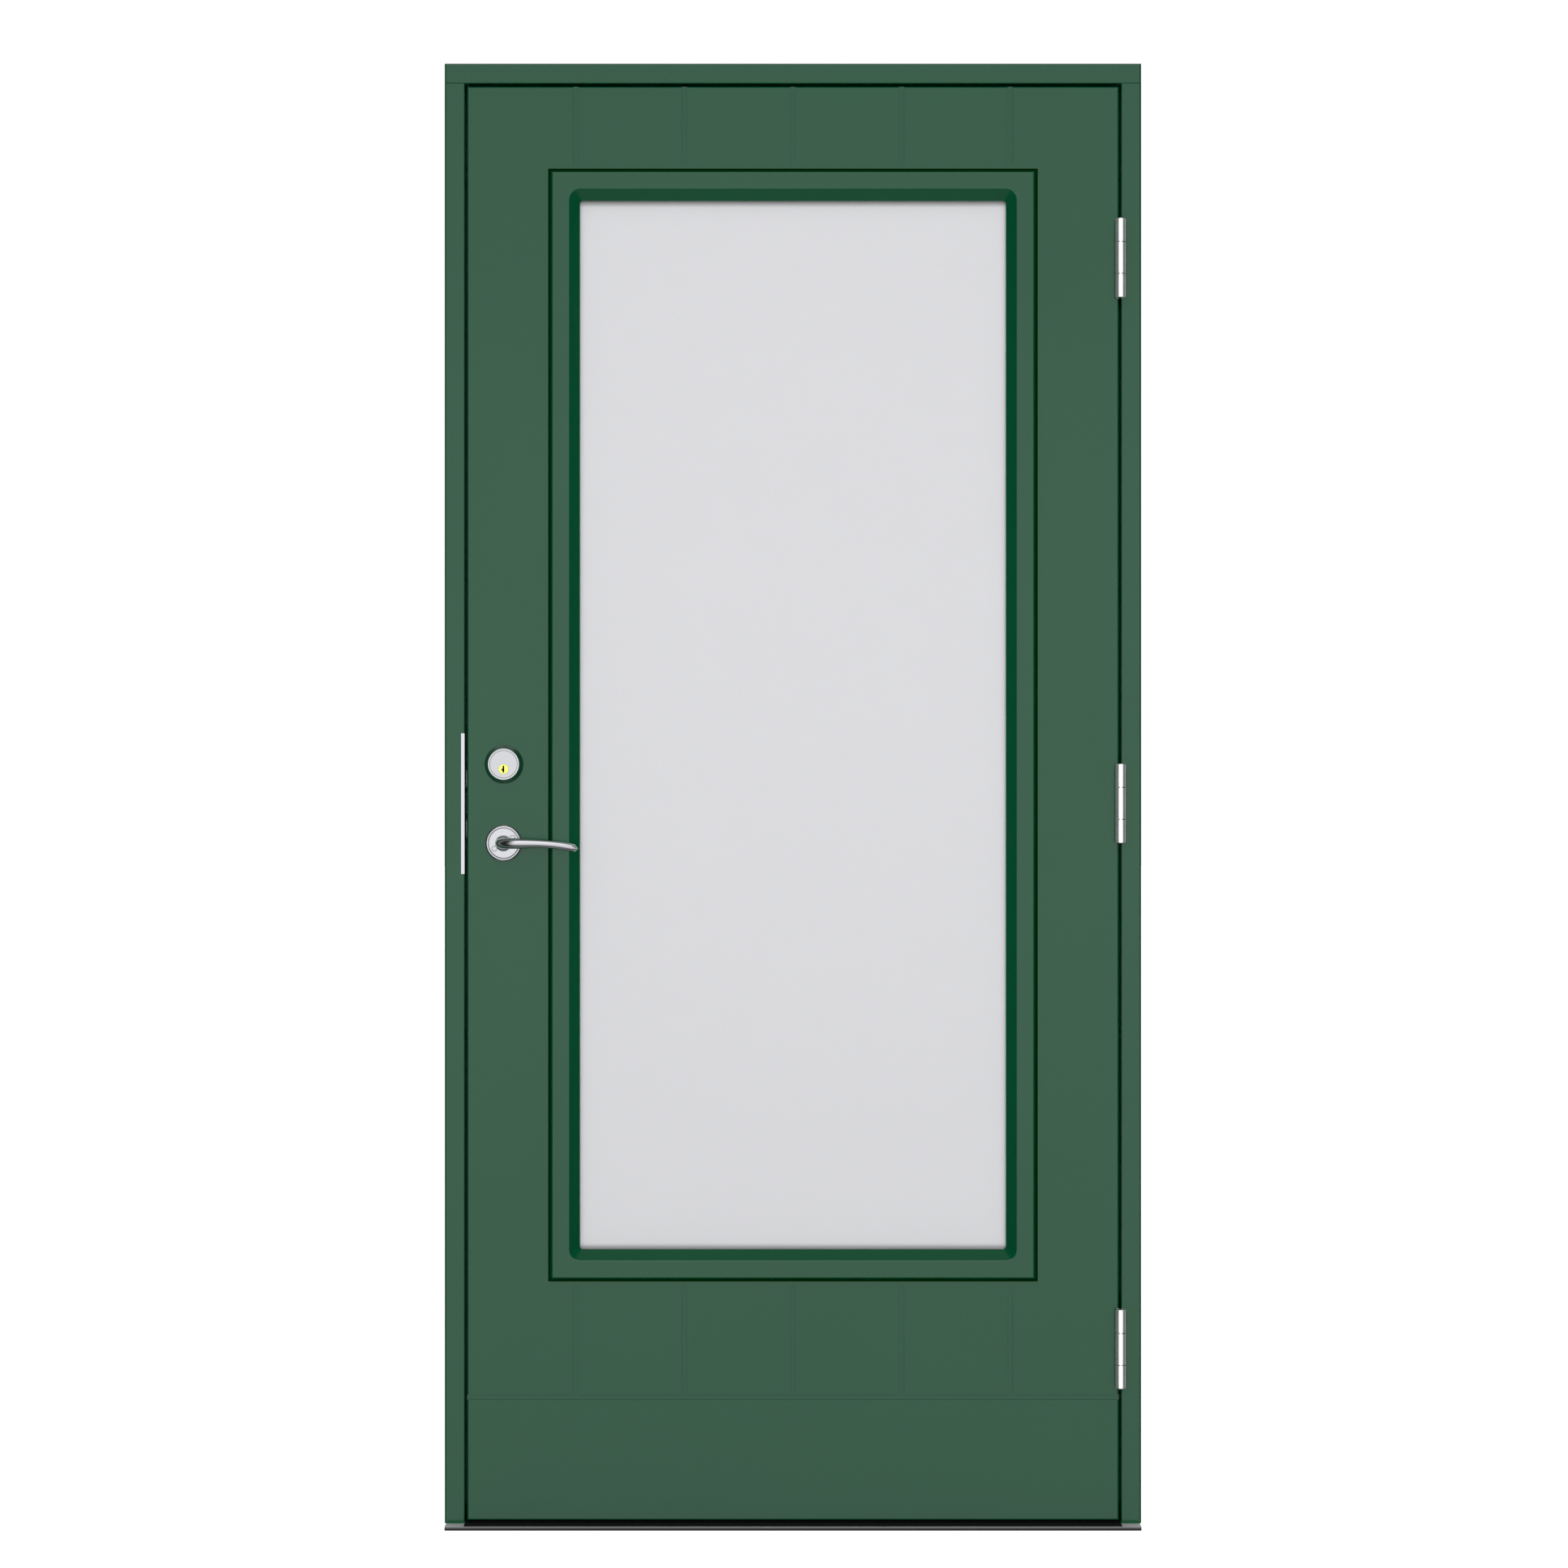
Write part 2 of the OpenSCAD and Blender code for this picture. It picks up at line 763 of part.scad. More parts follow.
// One hinge plate with its knuckles; into is 1 for the jamb's and -1 for the leaf's
module hinge_plate(z, into) {
    edge = into > 0 ? open_w / 2 : leaf_w / 2;
    x0 = into > 0 ? edge : edge - hinge_t;
    low = z - hinge_h / 2 + cap_t;
    high = z + hinge_h / 2 - cap_t;
    knuckles = into > 0
        ? [[low, low + side_knuckle_h], [high - side_knuckle_h, high]]
        : [[z - knuckle_h / 2, z + knuckle_h / 2]];
    color(steel)
        difference() {
            union() {
                span(x0, x0 + hinge_t, front_y, front_y + hinge_w, z - hinge_h / 2, z + hinge_h / 2);
                for (k = knuckles) {
                    translate([hinge_x, hinge_y, k[0]])
                        cylinder(h = k[1] - k[0], r = knuckle_d / 2);
                    span(x0, x0 + hinge_t, hinge_y + knuckle_d / 4, front_y + eps, k[0], k[1]);
                }
            }
            translate([hinge_x, hinge_y, z - hinge_h])
                cylinder(h = 2 * hinge_h, r = pin_d / 2 + run_fit);
            hinge_screw_places(z, edge, into)
                flat_screw(hinge_screw_r, hinge_t + cut, run_fit);
        }
}

module hinge_pins() {
    color(steel)
        for (z = hinge_zs)
            translate([hinge_x, hinge_y, z - hinge_h / 2]) {
                cylinder(h = hinge_h, r = pin_d / 2);
                cylinder(h = cap_t, r = knuckle_d / 2 - 0.4);
                translate([0, 0, hinge_h - cap_t])
                    cylinder(h = cap_t, r = knuckle_d / 2 - 0.4);
            }
}

module hinge_frame_screws() {
    color(steel)
        for (z = hinge_zs)
            hinge_screw_places(z, open_w / 2, 1)
                cross_screw(hinge_screw_r, jamb_screw_l);
}

module hinge_leaf_screws() {
    color(steel)
        for (z = hinge_zs)
            hinge_screw_places(z, leaf_w / 2, -1)
                cross_screw(hinge_screw_r, stile_screw_l);
}

// Recesses and screw holes for the leaf's hinge plates
module hinge_recesses() {
    for (z = hinge_zs) {
        span(leaf_w / 2 - hinge_t, leaf_w / 2 + cut, leaf_y0 - cut, leaf_y0 + hinge_w, z - hinge_h / 2,
            z + hinge_h / 2);
        hinge_screw_places(z, leaf_w / 2, -1)
            flat_screw(hinge_screw_r, stile_screw_l, run_fit);
    }
}

// Holes through the leaf for the handle, the cylinder, the turn knob and their screws
module lock_holes() {
    shaft_hole_r = spindle_w * 0.9;
    rod_y(lock_x, handle_z, shaft_hole_r, leaf_y0 - cut, leaf_y1 + cut);
    rod_y(lock_x, key_z, shaft_hole_r, lock_y, leaf_y1 + cut);
    rod_y(lock_x, cyl_z, cyl_d / 2 + wood_fit, leaf_y0 - cut, cyl_back + wood_fit);
    rose_screw_places()
        round_screw(rose_screw_r, rose_screw_l, run_fit);
    to_inside()
        rose_screw_places()
            round_screw(rose_screw_r, rose_screw_l, run_fit);
    cylinder_bolt_places()
        flat_screw(bolt_shaft_r, rose_t + leaf_t / 2 + case_t, run_fit);
}

module outer_skin() {
    c = leaf_chamfer;
    groove_z = leaf_z0 + kick_h;
    color(paint)
        difference() {
            span(-leaf_w / 2, leaf_w / 2, leaf_y0, core_y0, leaf_z0, leaf_z1);
            for (side = [-1, 1]) {
                translate([side * leaf_w / 2, leaf_y0, leaf_mid_z])
                    arris(c, leaf_h + cut);
                translate([0, leaf_y0, leaf_mid_z + side * leaf_h / 2])
                    rotate([0, 90, 0])
                        arris(c, leaf_w + cut);
            }
            difference() {
                for (i = [1:plank_count - 1]) {
                    x = -leaf_w / 2 + i * leaf_w / plank_count;
                    span(x - groove_w / 2, x + groove_w / 2, leaf_y0 - cut, leaf_y0 + groove_d, groove_z,
                        leaf_z1 + cut);
                }
                glass_rect(trim_over + groove_stop, leaf_y0 - 2 * cut, leaf_y0 + groove_d + cut);
            }
            span(-leaf_w / 2 - cut, leaf_w / 2 + cut, leaf_y0 - cut, leaf_y0 + groove_d, groove_z,
                groove_z + groove_w);
            glass_ring(trim_over, trim_over + quirk_w, leaf_y0 - cut, leaf_y0 + quirk_d);
            glass_rect(cut_over, leaf_y0 - cut, core_y0 + cut);
            hinge_recesses();
            lock_holes();
        }
}

module inner_skin() {
    c = leaf_chamfer;
    color(paint)
        difference() {
            span(-leaf_w / 2, leaf_w / 2, core_y1, leaf_y1, leaf_z0, leaf_z1);
            for (side = [-1, 1]) {
                translate([side * leaf_w / 2, leaf_y1, leaf_mid_z])
                    arris(c, leaf_h + cut);
                translate([0, leaf_y1, leaf_mid_z + side * leaf_h / 2])
                    rotate([0, 90, 0])
                        arris(c, leaf_w + cut);
            }
            glass_rect(cut_over, core_y1 - cut, leaf_y1 + cut);
            lock_holes();
            glazing_screw_places()
                flat_screw(glazing_screw_r, glazing_screw_l, run_fit);
        }
}

module leaf_core() {
    color("#e4d9b0")
        difference() {
            span(-leaf_w / 2 + lock_stile_w, leaf_w / 2 - hinge_stile_w, core_y0, core_y1,
                leaf_z0 + bottom_rail_h, leaf_z1 - top_rail_h);
            glass_rect(cut_over + liner_t, core_y0 - cut, core_y1 + cut);
        }
}

module lock_stile() {
    color(timber)
        difference() {
            span(-leaf_w / 2, -leaf_w / 2 + lock_stile_w, core_y0, core_y1, leaf_z0, leaf_z1);
            span(case_x0 - cut, case_x1 + wood_fit, lock_y - case_t / 2 - wood_fit, lock_y + case_t / 2 + wood_fit,
                latch_z - case_h / 2 - wood_fit, latch_z + case_h / 2 + wood_fit);
            span(-leaf_w / 2 - cut, case_x0, lock_y - faceplate_w / 2 - wood_fit,
                lock_y + faceplate_w / 2 + wood_fit, latch_z - faceplate_h / 2 - wood_fit,
                latch_z + faceplate_h / 2 + wood_fit);
            lock_holes();
            faceplate_screw_places()
                flat_screw(rose_screw_r, rose_screw_l, run_fit);
        }
}

module hinge_stile() {
    color(timber)
        difference() {
            span(leaf_w / 2 - hinge_stile_w, leaf_w / 2, core_y0, core_y1, leaf_z0, leaf_z1);
            hinge_recesses();
        }
}

module top_rail() {
    color(timber)
        span(-leaf_w / 2 + lock_stile_w, leaf_w / 2 - hinge_stile_w, core_y0, core_y1, leaf_z1 - top_rail_h, leaf_z1);
}

module bottom_rail() {
    color(timber)
        span(-leaf_w / 2 + lock_stile_w, leaf_w / 2 - hinge_stile_w, core_y0, core_y1, leaf_z0,
            leaf_z0 + bottom_rail_h);
}

module glazing_liner() {
    x0 = sight_w / 2 + cut_over;
    z0 = sight_z0 - cut_over;
    z1 = sight_z1 + cut_over;
    color(timber)
        difference() {
            union() {
                for (side = [-1, 1])
                    translate([side * (x0 + liner_t / 2), 0, 0])
                        span(-liner_t / 2, liner_t / 2, core_y0, core_y1, z0, z1);
                span(-x0 - liner_t, x0 + liner_t, core_y0, core_y1, z0 - liner_t, z0);
                span(-x0 - liner_t, x0 + liner_t, core_y0, core_y1, z1, z1 + liner_t);
            }
            glazing_screw_places()
                flat_screw(glazing_screw_r, glazing_screw_l, run_fit);
        }
}

// Rods along Y in the four corners of a rectangle round the visible glass, grown by over on each side
module corner_rods(over, r, y0, y1) {
    for (side = [-1, 1], up = [-1, 1])
        rod_y(side * (sight_w / 2 + over - r), sight_z + up * (sight_h / 2 + over - r), r, y0, y1, $fn = 32);
}

// The opening of a glazing frame: sloped from the flat face at y0, then straight to the seal at y1
module sloped_opening(y0, y1) {
    lip = 0.05;
    slope_y = y0 + slope_d;
    hull() {
        corner_rods(slope_w, slope_r, y0 - lip, y0);
        corner_rods(0, sight_r, slope_y, slope_y + lip);
    }
    hull()
        corner_rods(0, sight_r, slope_y, y1 + lip);
}

// Takes a bevel off an edge that runs along Z through the origin: w wide on the face, d deep down the side
module bevel_cut(w, d, length) {
    translate([0, 0, -length / 2])
        linear_extrude(length)
            polygon([[-w, 0], [-w, -cut], [cut, -cut], [cut, d], [0, d]]);
}

// A glazing frame: a bevelled flange on the leaf with a leg that reaches to seal_y in the cutout
module glazing_frame(seal_y) {
    face_y = leaf_y0 - trim_rise;
    half_h = sight_h / 2 + trim_over;
    half_w = sight_w / 2 + trim_over;
    bevel_d = trim_rise - trim_land;
    difference() {
        union() {
            glass_rect(trim_over, face_y, leaf_y0);
            glass_rect(cut_over - trim_fit, leaf_y0 - eps, seal_y);
        }
        for (side = [-1, 1]) {
            translate([side * half_w, face_y, sight_z])
                rotate([0, 90 - 90 * side, 0])
                    bevel_cut(bevel_w, bevel_d, 2 * half_h + cut);
            translate([0, face_y, sight_z + side * half_h])
                rotate([0, -90 * side, 0])
                    bevel_cut(bevel_w, bevel_d, 2 * half_w + cut);
        }
        sloped_opening(face_y, seal_y);
    }
}

module outer_glazing_frame() {
    color(paint)
        glazing_frame(glass_y0 - glass_seal_t);
}

module inner_glazing_frame() {
    color(paint)
        difference() {
            to_inside()
                glazing_frame(2 * lock_y - glass_y1 - glass_seal_t);
            glazing_screw_places()
                flat_screw(glazing_screw_r, glazing_screw_l, run_fit);
        }
}

module glazing_screws() {
    color(steel)
        glazing_screw_places()
            cross_screw(glazing_screw_r, glazing_screw_l);
}

// One pane; index 0 is the outer one
module pane(index) {
    y = glass_y0 + index * (pane_t + pane_gap);
    color(glass)
        glass_rect(glass_cover, y, y + pane_t);
}

module pane_spacers() {
    color(dark_steel)
        for (index = [0, 1]) {
            y = glass_y0 + pane_t + index * (pane_t + pane_gap);
            glass_ring(glass_cover - spacer_w, glass_cover, y, y + pane_gap);
        }
}

module glazing_seals() {
    color(black) {
        glass_ring(glass_cover - spacer_w, glass_cover, glass_y0 - glass_seal_t, glass_y0);
        glass_ring(glass_cover - spacer_w, glass_cover, glass_y1, glass_y1 + glass_seal_t);
    }
}

module setting_blocks() {
    z = sight_z0 - cut_over;
    x = sight_w / 2 + glass_cover;
    color(black)
        for (side = [-1, 1]) {
            translate([side * sight_w / 4, 0, 0])
                span(-block_l / 2, block_l / 2, glass_y0, glass_y1, z, z + glass_clear);
            for (up = [-1, 1])
                translate([side * (x + glass_clear / 2), 0, sight_z + up * sight_h / 3])
                    span(-glass_clear / 2, glass_clear / 2, glass_y0, glass_y1, -block_l / 2, block_l / 2);
        }
}

// Openings for the latch and the deadbolt through the faceplate and the case
module bolt_openings(x0, x1) {
    half_t = bolt_t / 2 + slide_fit;
    span(x0, x1, lock_y - half_t, lock_y + half_t, latch_z - latch_h / 2 - slide_fit,
        latch_z + latch_h / 2 + slide_fit);
    span(x0, x1, lock_y - half_t, lock_y + half_t, bolt_z - bolt_h / 2 - slide_fit, bolt_z + bolt_h / 2 + slide_fit);
}

// Bearing bores for both hubs and holes for the cylinder bolts
module case_bores() {
    for (z = [handle_z, key_z])
        rod_y(lock_x, z, journal_r + run_fit, lock_y - case_t, lock_y + case_t);
    for (side = [-1, 1])
        rod_y(lock_x + side * bolt_side, key_z + bolt_up, bolt_shaft_r + slide_fit, lock_y - case_t, lock_y + case_t);
}

module lock_case() {
    z0 = latch_z - case_h / 2;
    z1 = latch_z + case_h / 2;
    y0 = lock_y - case_t / 2;
    y1 = lock_y + case_t / 2 - case_wall;
    color(dark_steel)
        difference() {
            union() {
                difference() {
                    span(case_x0, case_x1, y0, y1, z0, z1);
                    span(case_x0 + case_wall, case_x1 - case_wall, y0 + case_wall, y1 + cut, z0 + case_wall,
                        z1 - case_wall);
                }
                span(guide_x, guide_x + guide_t, y0, y1, latch_z - 3 * rod_r, latch_z + 3 * rod_r);
            }
            bolt_openings(case_x0 - cut, case_x0 + case_wall + cut);
            rod_x(lock_y, latch_z, rod_r + run_fit, guide_x - cut, guide_x + guide_t + cut);
            case_bores();
        }
}

module lock_cover() {
    color(dark_steel)
        difference() {
            span(case_x0, case_x1, lock_y + case_t / 2 - case_wall, lock_y + case_t / 2, latch_z - case_h / 2,
                latch_z + case_h / 2);
            case_bores();
        }
}

module lock_faceplate() {
    color(steel)
        difference() {
            span(-leaf_w / 2, case_x0, lock_y - faceplate_w / 2, lock_y + faceplate_w / 2,
                latch_z - faceplate_h / 2, latch_z + faceplate_h / 2);
            bolt_openings(-leaf_w / 2 - cut, case_x0 + cut);
            faceplate_screw_places()
                flat_screw(rose_screw_r, rose_screw_l, run_fit);
        }
}

// A screw with a domed head that sits on z = 0
module round_screw(r, length, grow = 0) {
    head_r = 1.9 * r;
    head_h = 1.1 * r;
    ball_r = (head_r * head_r + head_h * head_h) / (2 * head_h);
    translate([0, 0, -length])
        cylinder(h = length + head_h / 4, r = r + grow);
    intersection() {
        translate([0, 0, head_h - ball_r])
            sphere(r = ball_r);
        cylinder(h = head_h, r = head_r);
    }
}

module lock_screws() {
    color(steel) {
        faceplate_screw_places()
            cross_screw(rose_screw_r, rose_screw_l);
        rose_screw_places()
            round_screw(rose_screw_r, rose_screw_l);
        to_inside()
            rose_screw_places()
                round_screw(rose_screw_r, rose_screw_l);
    }
}

// A round rose on the leaf with a rounded rim and a ring groove
module rose() {
    r = rose_d / 2;
    rim = rose_t / 4;
    groove = 0.8;
    difference() {
        translate([lock_x, leaf_y0, handle_z])
            rotate([90, 0, 0])
                rotate_extrude()
                    polygon([
                        [neck_r + run_fit, 0], [r, 0], [r, rose_t - rim], [r - rim, rose_t],
                        [rose_groove_r + groove, rose_t], [rose_groove_r + groove, rose_t - groove],
                        [rose_groove_r, rose_t - groove], [rose_groove_r, rose_t], [neck_r + run_fit, rose_t]
                    ]);
        rose_screw_places()
            translate([0, 0, -rose_screw_l])
                cylinder(h = rose_screw_l + cut, r = rose_screw_r + run_fit);
    }
}

module outer_rose() {
    color(steel)
        rose();
}

module inner_rose() {
    color(steel)
        to_inside()
            rose();
}

module cylinder_ring() {
    flat = 1;
    bore = cyl_d / 2 + ring_gap;
    color(steel)
        translate([lock_x, leaf_y0, cyl_z])
            rotate([90, 0, 0])
                rotate_extrude()
                    polygon([
                        [bore, 0], [ring_d / 2, 0], [ring_d / 2, flat], [ring_front_d / 2, ring_t - flat / 2],
                        [ring_front_d / 2 - flat / 2, ring_t], [bore, ring_t]
                    ]);
}

module cylinder_body() {
    color(steel)
        difference() {
            rod_y(lock_x, cyl_z, cyl_d / 2, leaf_y0 - ring_t, cyl_back);
            rod_y(lock_x, key_z, plug_d / 2 + run_fit, leaf_y0 - ring_t - cut, cyl_back + cut);
            cylinder_bolt_places()
                flat_screw(bolt_shaft_r, rose_t + leaf_t / 2 + case_t, run_fit);
        }
}

module turn_rose() {
    r = turn_rose_d / 2;
    rim = rose_t / 4;
    color(steel)
        difference() {
            translate([lock_x, leaf_y1, cyl_z])
                rotate([-90, 0, 0])
                    rotate_extrude()
                        polygon([[0, 0], [r, 0], [r, rose_t - rim], [r - rim, rose_t], [0, rose_t]]);
            rod_y(lock_x, key_z, turn_neck_r + run_fit, leaf_y1 - cut, leaf_y1 + rose_t + cut);
            cylinder_bolt_places()
                flat_screw(bolt_shaft_r, rose_t + leaf_t / 2, run_fit);
        }
}

module cylinder_bolts() {
    color(steel)
        cylinder_bolt_places()
            cross_screw(bolt_shaft_r, rose_t + leaf_t / 2 + case_t);
}

// Share of a lever's full section that is left at t, from root to pointed tip
function tip_share(t) = t < tip_start ? 1 : 1 - tip_taper * (t - tip_start) / (1 - tip_start);
tip_start = 0.94;
tip_taper = 0.9;
lever_rings = 16;
lever_sides = 24;
bend_start = 0.38;

// One round section of the lever's bend, turned by angle from the neck to the bar, as a ring of points
function bend_ring(angle) =
    let (
        r = collar_r + (lever_h / 2 - collar_r) * angle / 90,
        x = lever_bend * (1 - cos(angle)),
        y = lever_bend * (1 - sin(angle)) - lever_stand
    )
    [for (i = [0:lever_sides - 1])
        let (a = 360 * i / lever_sides)
        [x + r * cos(a) * cos(angle), y + r * cos(a) * sin(angle), r * sin(a)]];

// One oval section of the lever's bar at t, as a ring of points
function lever_ring(t) =
    let (
        bend = max(0, (t - bend_start) / (1 - bend_start)),
        y = -lever_stand + lever_return * bend * bend,
        z = -lever_droop * bend * bend,
        half_h = lever_h / 2 * (1 - 0.13 * t) * tip_share(t),
        half_d = lever_h / 2 * (1 - 0.25 * t) * tip_share(t)
    )
    [for (i = [0:lever_sides - 1])
        let (a = 360 * i / lever_sides)
        [lever_l * t, y + half_d * cos(a), z + half_h * sin(a)]];

// A solid through rings of points that lie one behind the other
module lofted(rings) {
    sides = len(rings[0]);
    last = len(rings) - 1;
    polyhedron(
        points = [for (r = rings) each r],
        faces = [
            [for (i = [0:sides - 1]) i],
            [for (i = [0:sides - 1]) last * sides + sides - 1 - i],
            for (r = [0:last - 1], i = [0:sides - 1])
                let (next = (i + 1) % sides)
                each [
                    [r * sides + i, (r + 1) * sides + i, (r + 1) * sides + next],
                    [r * sides + i, (r + 1) * sides + next, r * sides + next]
                ]
        ]
    );
}

// A lever with its neck, outside the leaf, in place
module lever() {
    collar_y = rose_t + neck_gap;
    t0 = lever_bend / lever_l;
    ts = [for (i = [0:lever_rings - 1]) t0 + (tip_start - t0) * i / (lever_rings - 1)];
    collar = [for (p = bend_ring(0)) [p.x, -collar_y, p.z]];
    bend = [for (angle = [0:10:80]) bend_ring(angle)];
    bar = [for (t = concat(ts, [1])) lever_ring(t)];
    translate([lock_x, leaf_y0, handle_z])
        difference() {
            union() {
                rod_y(0, 0, neck_r, -collar_y - cut, -neck_gap);
                lofted(concat([collar], bend, bar));
            }
            span(-spindle_w / 2 - run_fit, spindle_w / 2 + run_fit, -socket_l - run_fit, cut,
                -spindle_w / 2 - run_fit, spindle_w / 2 + run_fit);
        }
}

module outer_lever() {
    color(steel)
        lever();
}

module inner_lever() {
    color(steel)
        to_inside()
            lever();
}

module spindle() {
    color(dark_steel)
        span(lock_x - spindle_w / 2, lock_x + spindle_w / 2, leaf_y0 - socket_l, leaf_y1 + socket_l,
            handle_z - spindle_w / 2, handle_z + spindle_w / 2);
}

// A hub between the walls of the lock case, with a bearing in each wall
module hub(z) {
    half_t = inner_t / 2 - slide_fit;
    rod_y(lock_x, z, hub_r, lock_y - half_t, lock_y + half_t);
    rod_y(lock_x, z, journal_r, lock_y - case_t / 2, lock_y + case_t / 2);
}

module handle_follower() {
    half = spindle_w / 2 + run_fit;
    color(dark_steel)
        difference() {
            union() {
                hub(handle_z);
                span(lock_x - finger_r, lock_x + finger_r, lock_y - finger_t / 2, lock_y + finger_t / 2,
                    handle_z + hub_r / 2, handle_z + finger_reach);
                rod_y(lock_x, handle_z + finger_reach, finger_r, lock_y - finger_t / 2, lock_y + finger_t / 2);
            }
            span(lock_x - half, lock_x + half, lock_y - case_t, lock_y + case_t, handle_z - half, handle_z + half);
        }
}

module latch_bolt() {
    half_t = bolt_t / 2;
    tip_x = -leaf_w / 2 - latch_throw;
    color(steel)
        union() {
            translate([0, lock_y, latch_z - latch_h / 2])
                linear_extrude(latch_h)
                    polygon([
                        [tip_x, -half_t], [latch_back, -half_t], [latch_back, half_t],
                        [-leaf_w / 2 - leaf_gap / 4, half_t], [tip_x, -half_t / 2]
                    ]);
            rod_x(lock_y, latch_z, rod_r, latch_back - eps, hook_x + hook_w / 2);
            span(hook_x, hook_x + hook_w, lock_y - finger_t / 2, lock_y + finger_t / 2, handle_z + hook_drop,
                latch_z + 2 * rod_r);
        }
}

// The latch spring's wire as a helix round the latch's rod
spring_steps = 16;
spring_sides = 6;
function spring_ring(i) =
    let (
        length = guide_x - latch_back - 2 * slide_fit - wire_d,
        a = 360 * i / spring_steps,
        x = latch_back + slide_fit + wire_d / 2 + length * i / (spring_steps * spring_turns)
    )
    [for (k = [0:spring_sides - 1])
        let (
            b = 360 * k / spring_sides,
            r = spring_r + wire_d / 2 * cos(b)
        )
        [x + wire_d / 2 * sin(b), lock_y + r * cos(a), latch_z + r * sin(a)]];

module latch_spring() {
    color(dark_steel)
        lofted([for (i = [0:spring_steps * spring_turns]) spring_ring(i)]);
}

module turn_knob() {
    face_y = leaf_y1 + rose_t;
    neck_end = face_y + 4;
    half = spindle_w / 2 - 0.5;
    grip_y = face_y + 3;
    grip_h = 16;
    color(steel)
        union() {
            span(lock_x - half, lock_x + half, lock_y + slide_fit, leaf_y1 + neck_gap + eps, key_z - half, key_z + half);
            rod_y(lock_x, key_z, turn_neck_r, leaf_y1 + neck_gap, neck_end);
            hull()
                for (up = [-1, 1])
                    rod_y(lock_x, key_z + up * (grip_l - grip_t) / 2, grip_t / 2, grip_y, grip_y + grip_h, $fn = 32);
        }
}

module turn_hub() {
    half = spindle_w / 2 - 0.5 + run_fit;
    color(dark_steel)
        difference() {
            union() {
                hub(key_z);
                translate([lock_x, lock_y, key_z])
                    rotate([0, -45, 0]) {
                        span(-arm_r, arm_r, -finger_t / 2, finger_t / 2, -arm_reach, -hub_r / 2);
                        rod_y(0, -arm_reach, arm_tip_r, -finger_t / 2, finger_t / 2);
                    }
            }
            rod_y(lock_x, key_z, key_pocket_r, lock_y - case_t, lock_y);
            span(lock_x - half, lock_x + half, lock_y - eps, lock_y + case_t, key_z - half, key_z + half);
        }
}

module deadbolt() {
    half_t = bolt_t / 2;
    body_end = case_x0 + bolt_throw + 10;
    notch_x = lock_x + arm_reach / sqrt(2);
    color(steel)
        difference() {
            union() {
                span(-leaf_w / 2, body_end, lock_y - half_t, lock_y + half_t, bolt_z - bolt_h / 2, bolt_z + bolt_h / 2);
                span(body_end - eps, tail_end, lock_y - finger_t / 2, lock_y + finger_t / 2, bolt_z - bolt_h / 2,
                    tail_top);
            }
            span(notch_x - notch_half, notch_x + notch_half, lock_y - finger_t, lock_y + finger_t,
                key_z - arm_reach - arm_tip_r - 1, tail_top + cut);
        }
}

module key_plug() {
    face_y = leaf_y0 - ring_t - 0.4;
    blade = 1;
    ward = keyway_w;
    color(brass)
        difference() {
            union() {
                rod_y(lock_x, key_z, plug_d / 2, face_y, cyl_back);
                span(lock_x - blade, lock_x + blade, cyl_back - eps, lock_y - finger_play, key_z - key_pocket_r * 0.8,
                    key_z + key_pocket_r * 0.8);
            }
            span(lock_x - keyway_w / 2, lock_x + keyway_w / 2, face_y - cut, cyl_back - ring_t,
                key_z - plug_d * 0.34, key_z + plug_d * 0.34);
            span(lock_x - ward * 1.2, lock_x, face_y - cut, cyl_back - ring_t, key_z - ward, key_z + ward / 3);
        }
}

lock_jamb();
hinge_jamb();
head();
sill_pad();
sill_plate();
sill_tread();
sill_stop();
frame_gasket();
strike_plate();
strike_box();
strike_screws();
fixing_sleeves();
corner_screws();
hinge_plate(hinge_zs[0], 1);  // hinge_bottom_frame_leaf
hinge_plate(hinge_zs[1], 1);  // hinge_middle_frame_leaf
hinge_plate(hinge_zs[2], 1);  // hinge_top_frame_leaf
hinge_pins();
hinge_frame_screws();
outer_skin();
inner_skin();
leaf_core();
lock_stile();
hinge_stile();
top_rail();
bottom_rail();
glazing_liner();
outer_glazing_frame();
inner_glazing_frame();
glazing_screws();
pane(0);  // outer_pane
pane(1);  // middle_pane
pane(2);  // inner_pane
pane_spacers();
glazing_seals();
setting_blocks();
hinge_plate(hinge_zs[0], -1);  // hinge_bottom_door_leaf
hinge_plate(hinge_zs[1], -1);  // hinge_middle_door_leaf
hinge_plate(hinge_zs[2], -1);  // hinge_top_door_leaf
hinge_leaf_screws();
lock_case();
lock_cover();
lock_faceplate();
lock_screws();
outer_rose();
inner_rose();
cylinder_ring();
cylinder_body();
turn_rose();
cylinder_bolts();
outer_lever();
inner_lever();
spindle();
handle_follower();
latch_bolt();
latch_spring();
turn_knob();
turn_hub();
deadbolt();
key_plug();
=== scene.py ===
"""Dresses a glazed front door and its frame with paint, glass, seals and door furniture, in a small studio.

Each group of pieces is made by one operator, and the 3D view's sidebar lists them in order.
"""

import json
import math

import bmesh
import bpy
from mathutils import Matrix, Vector


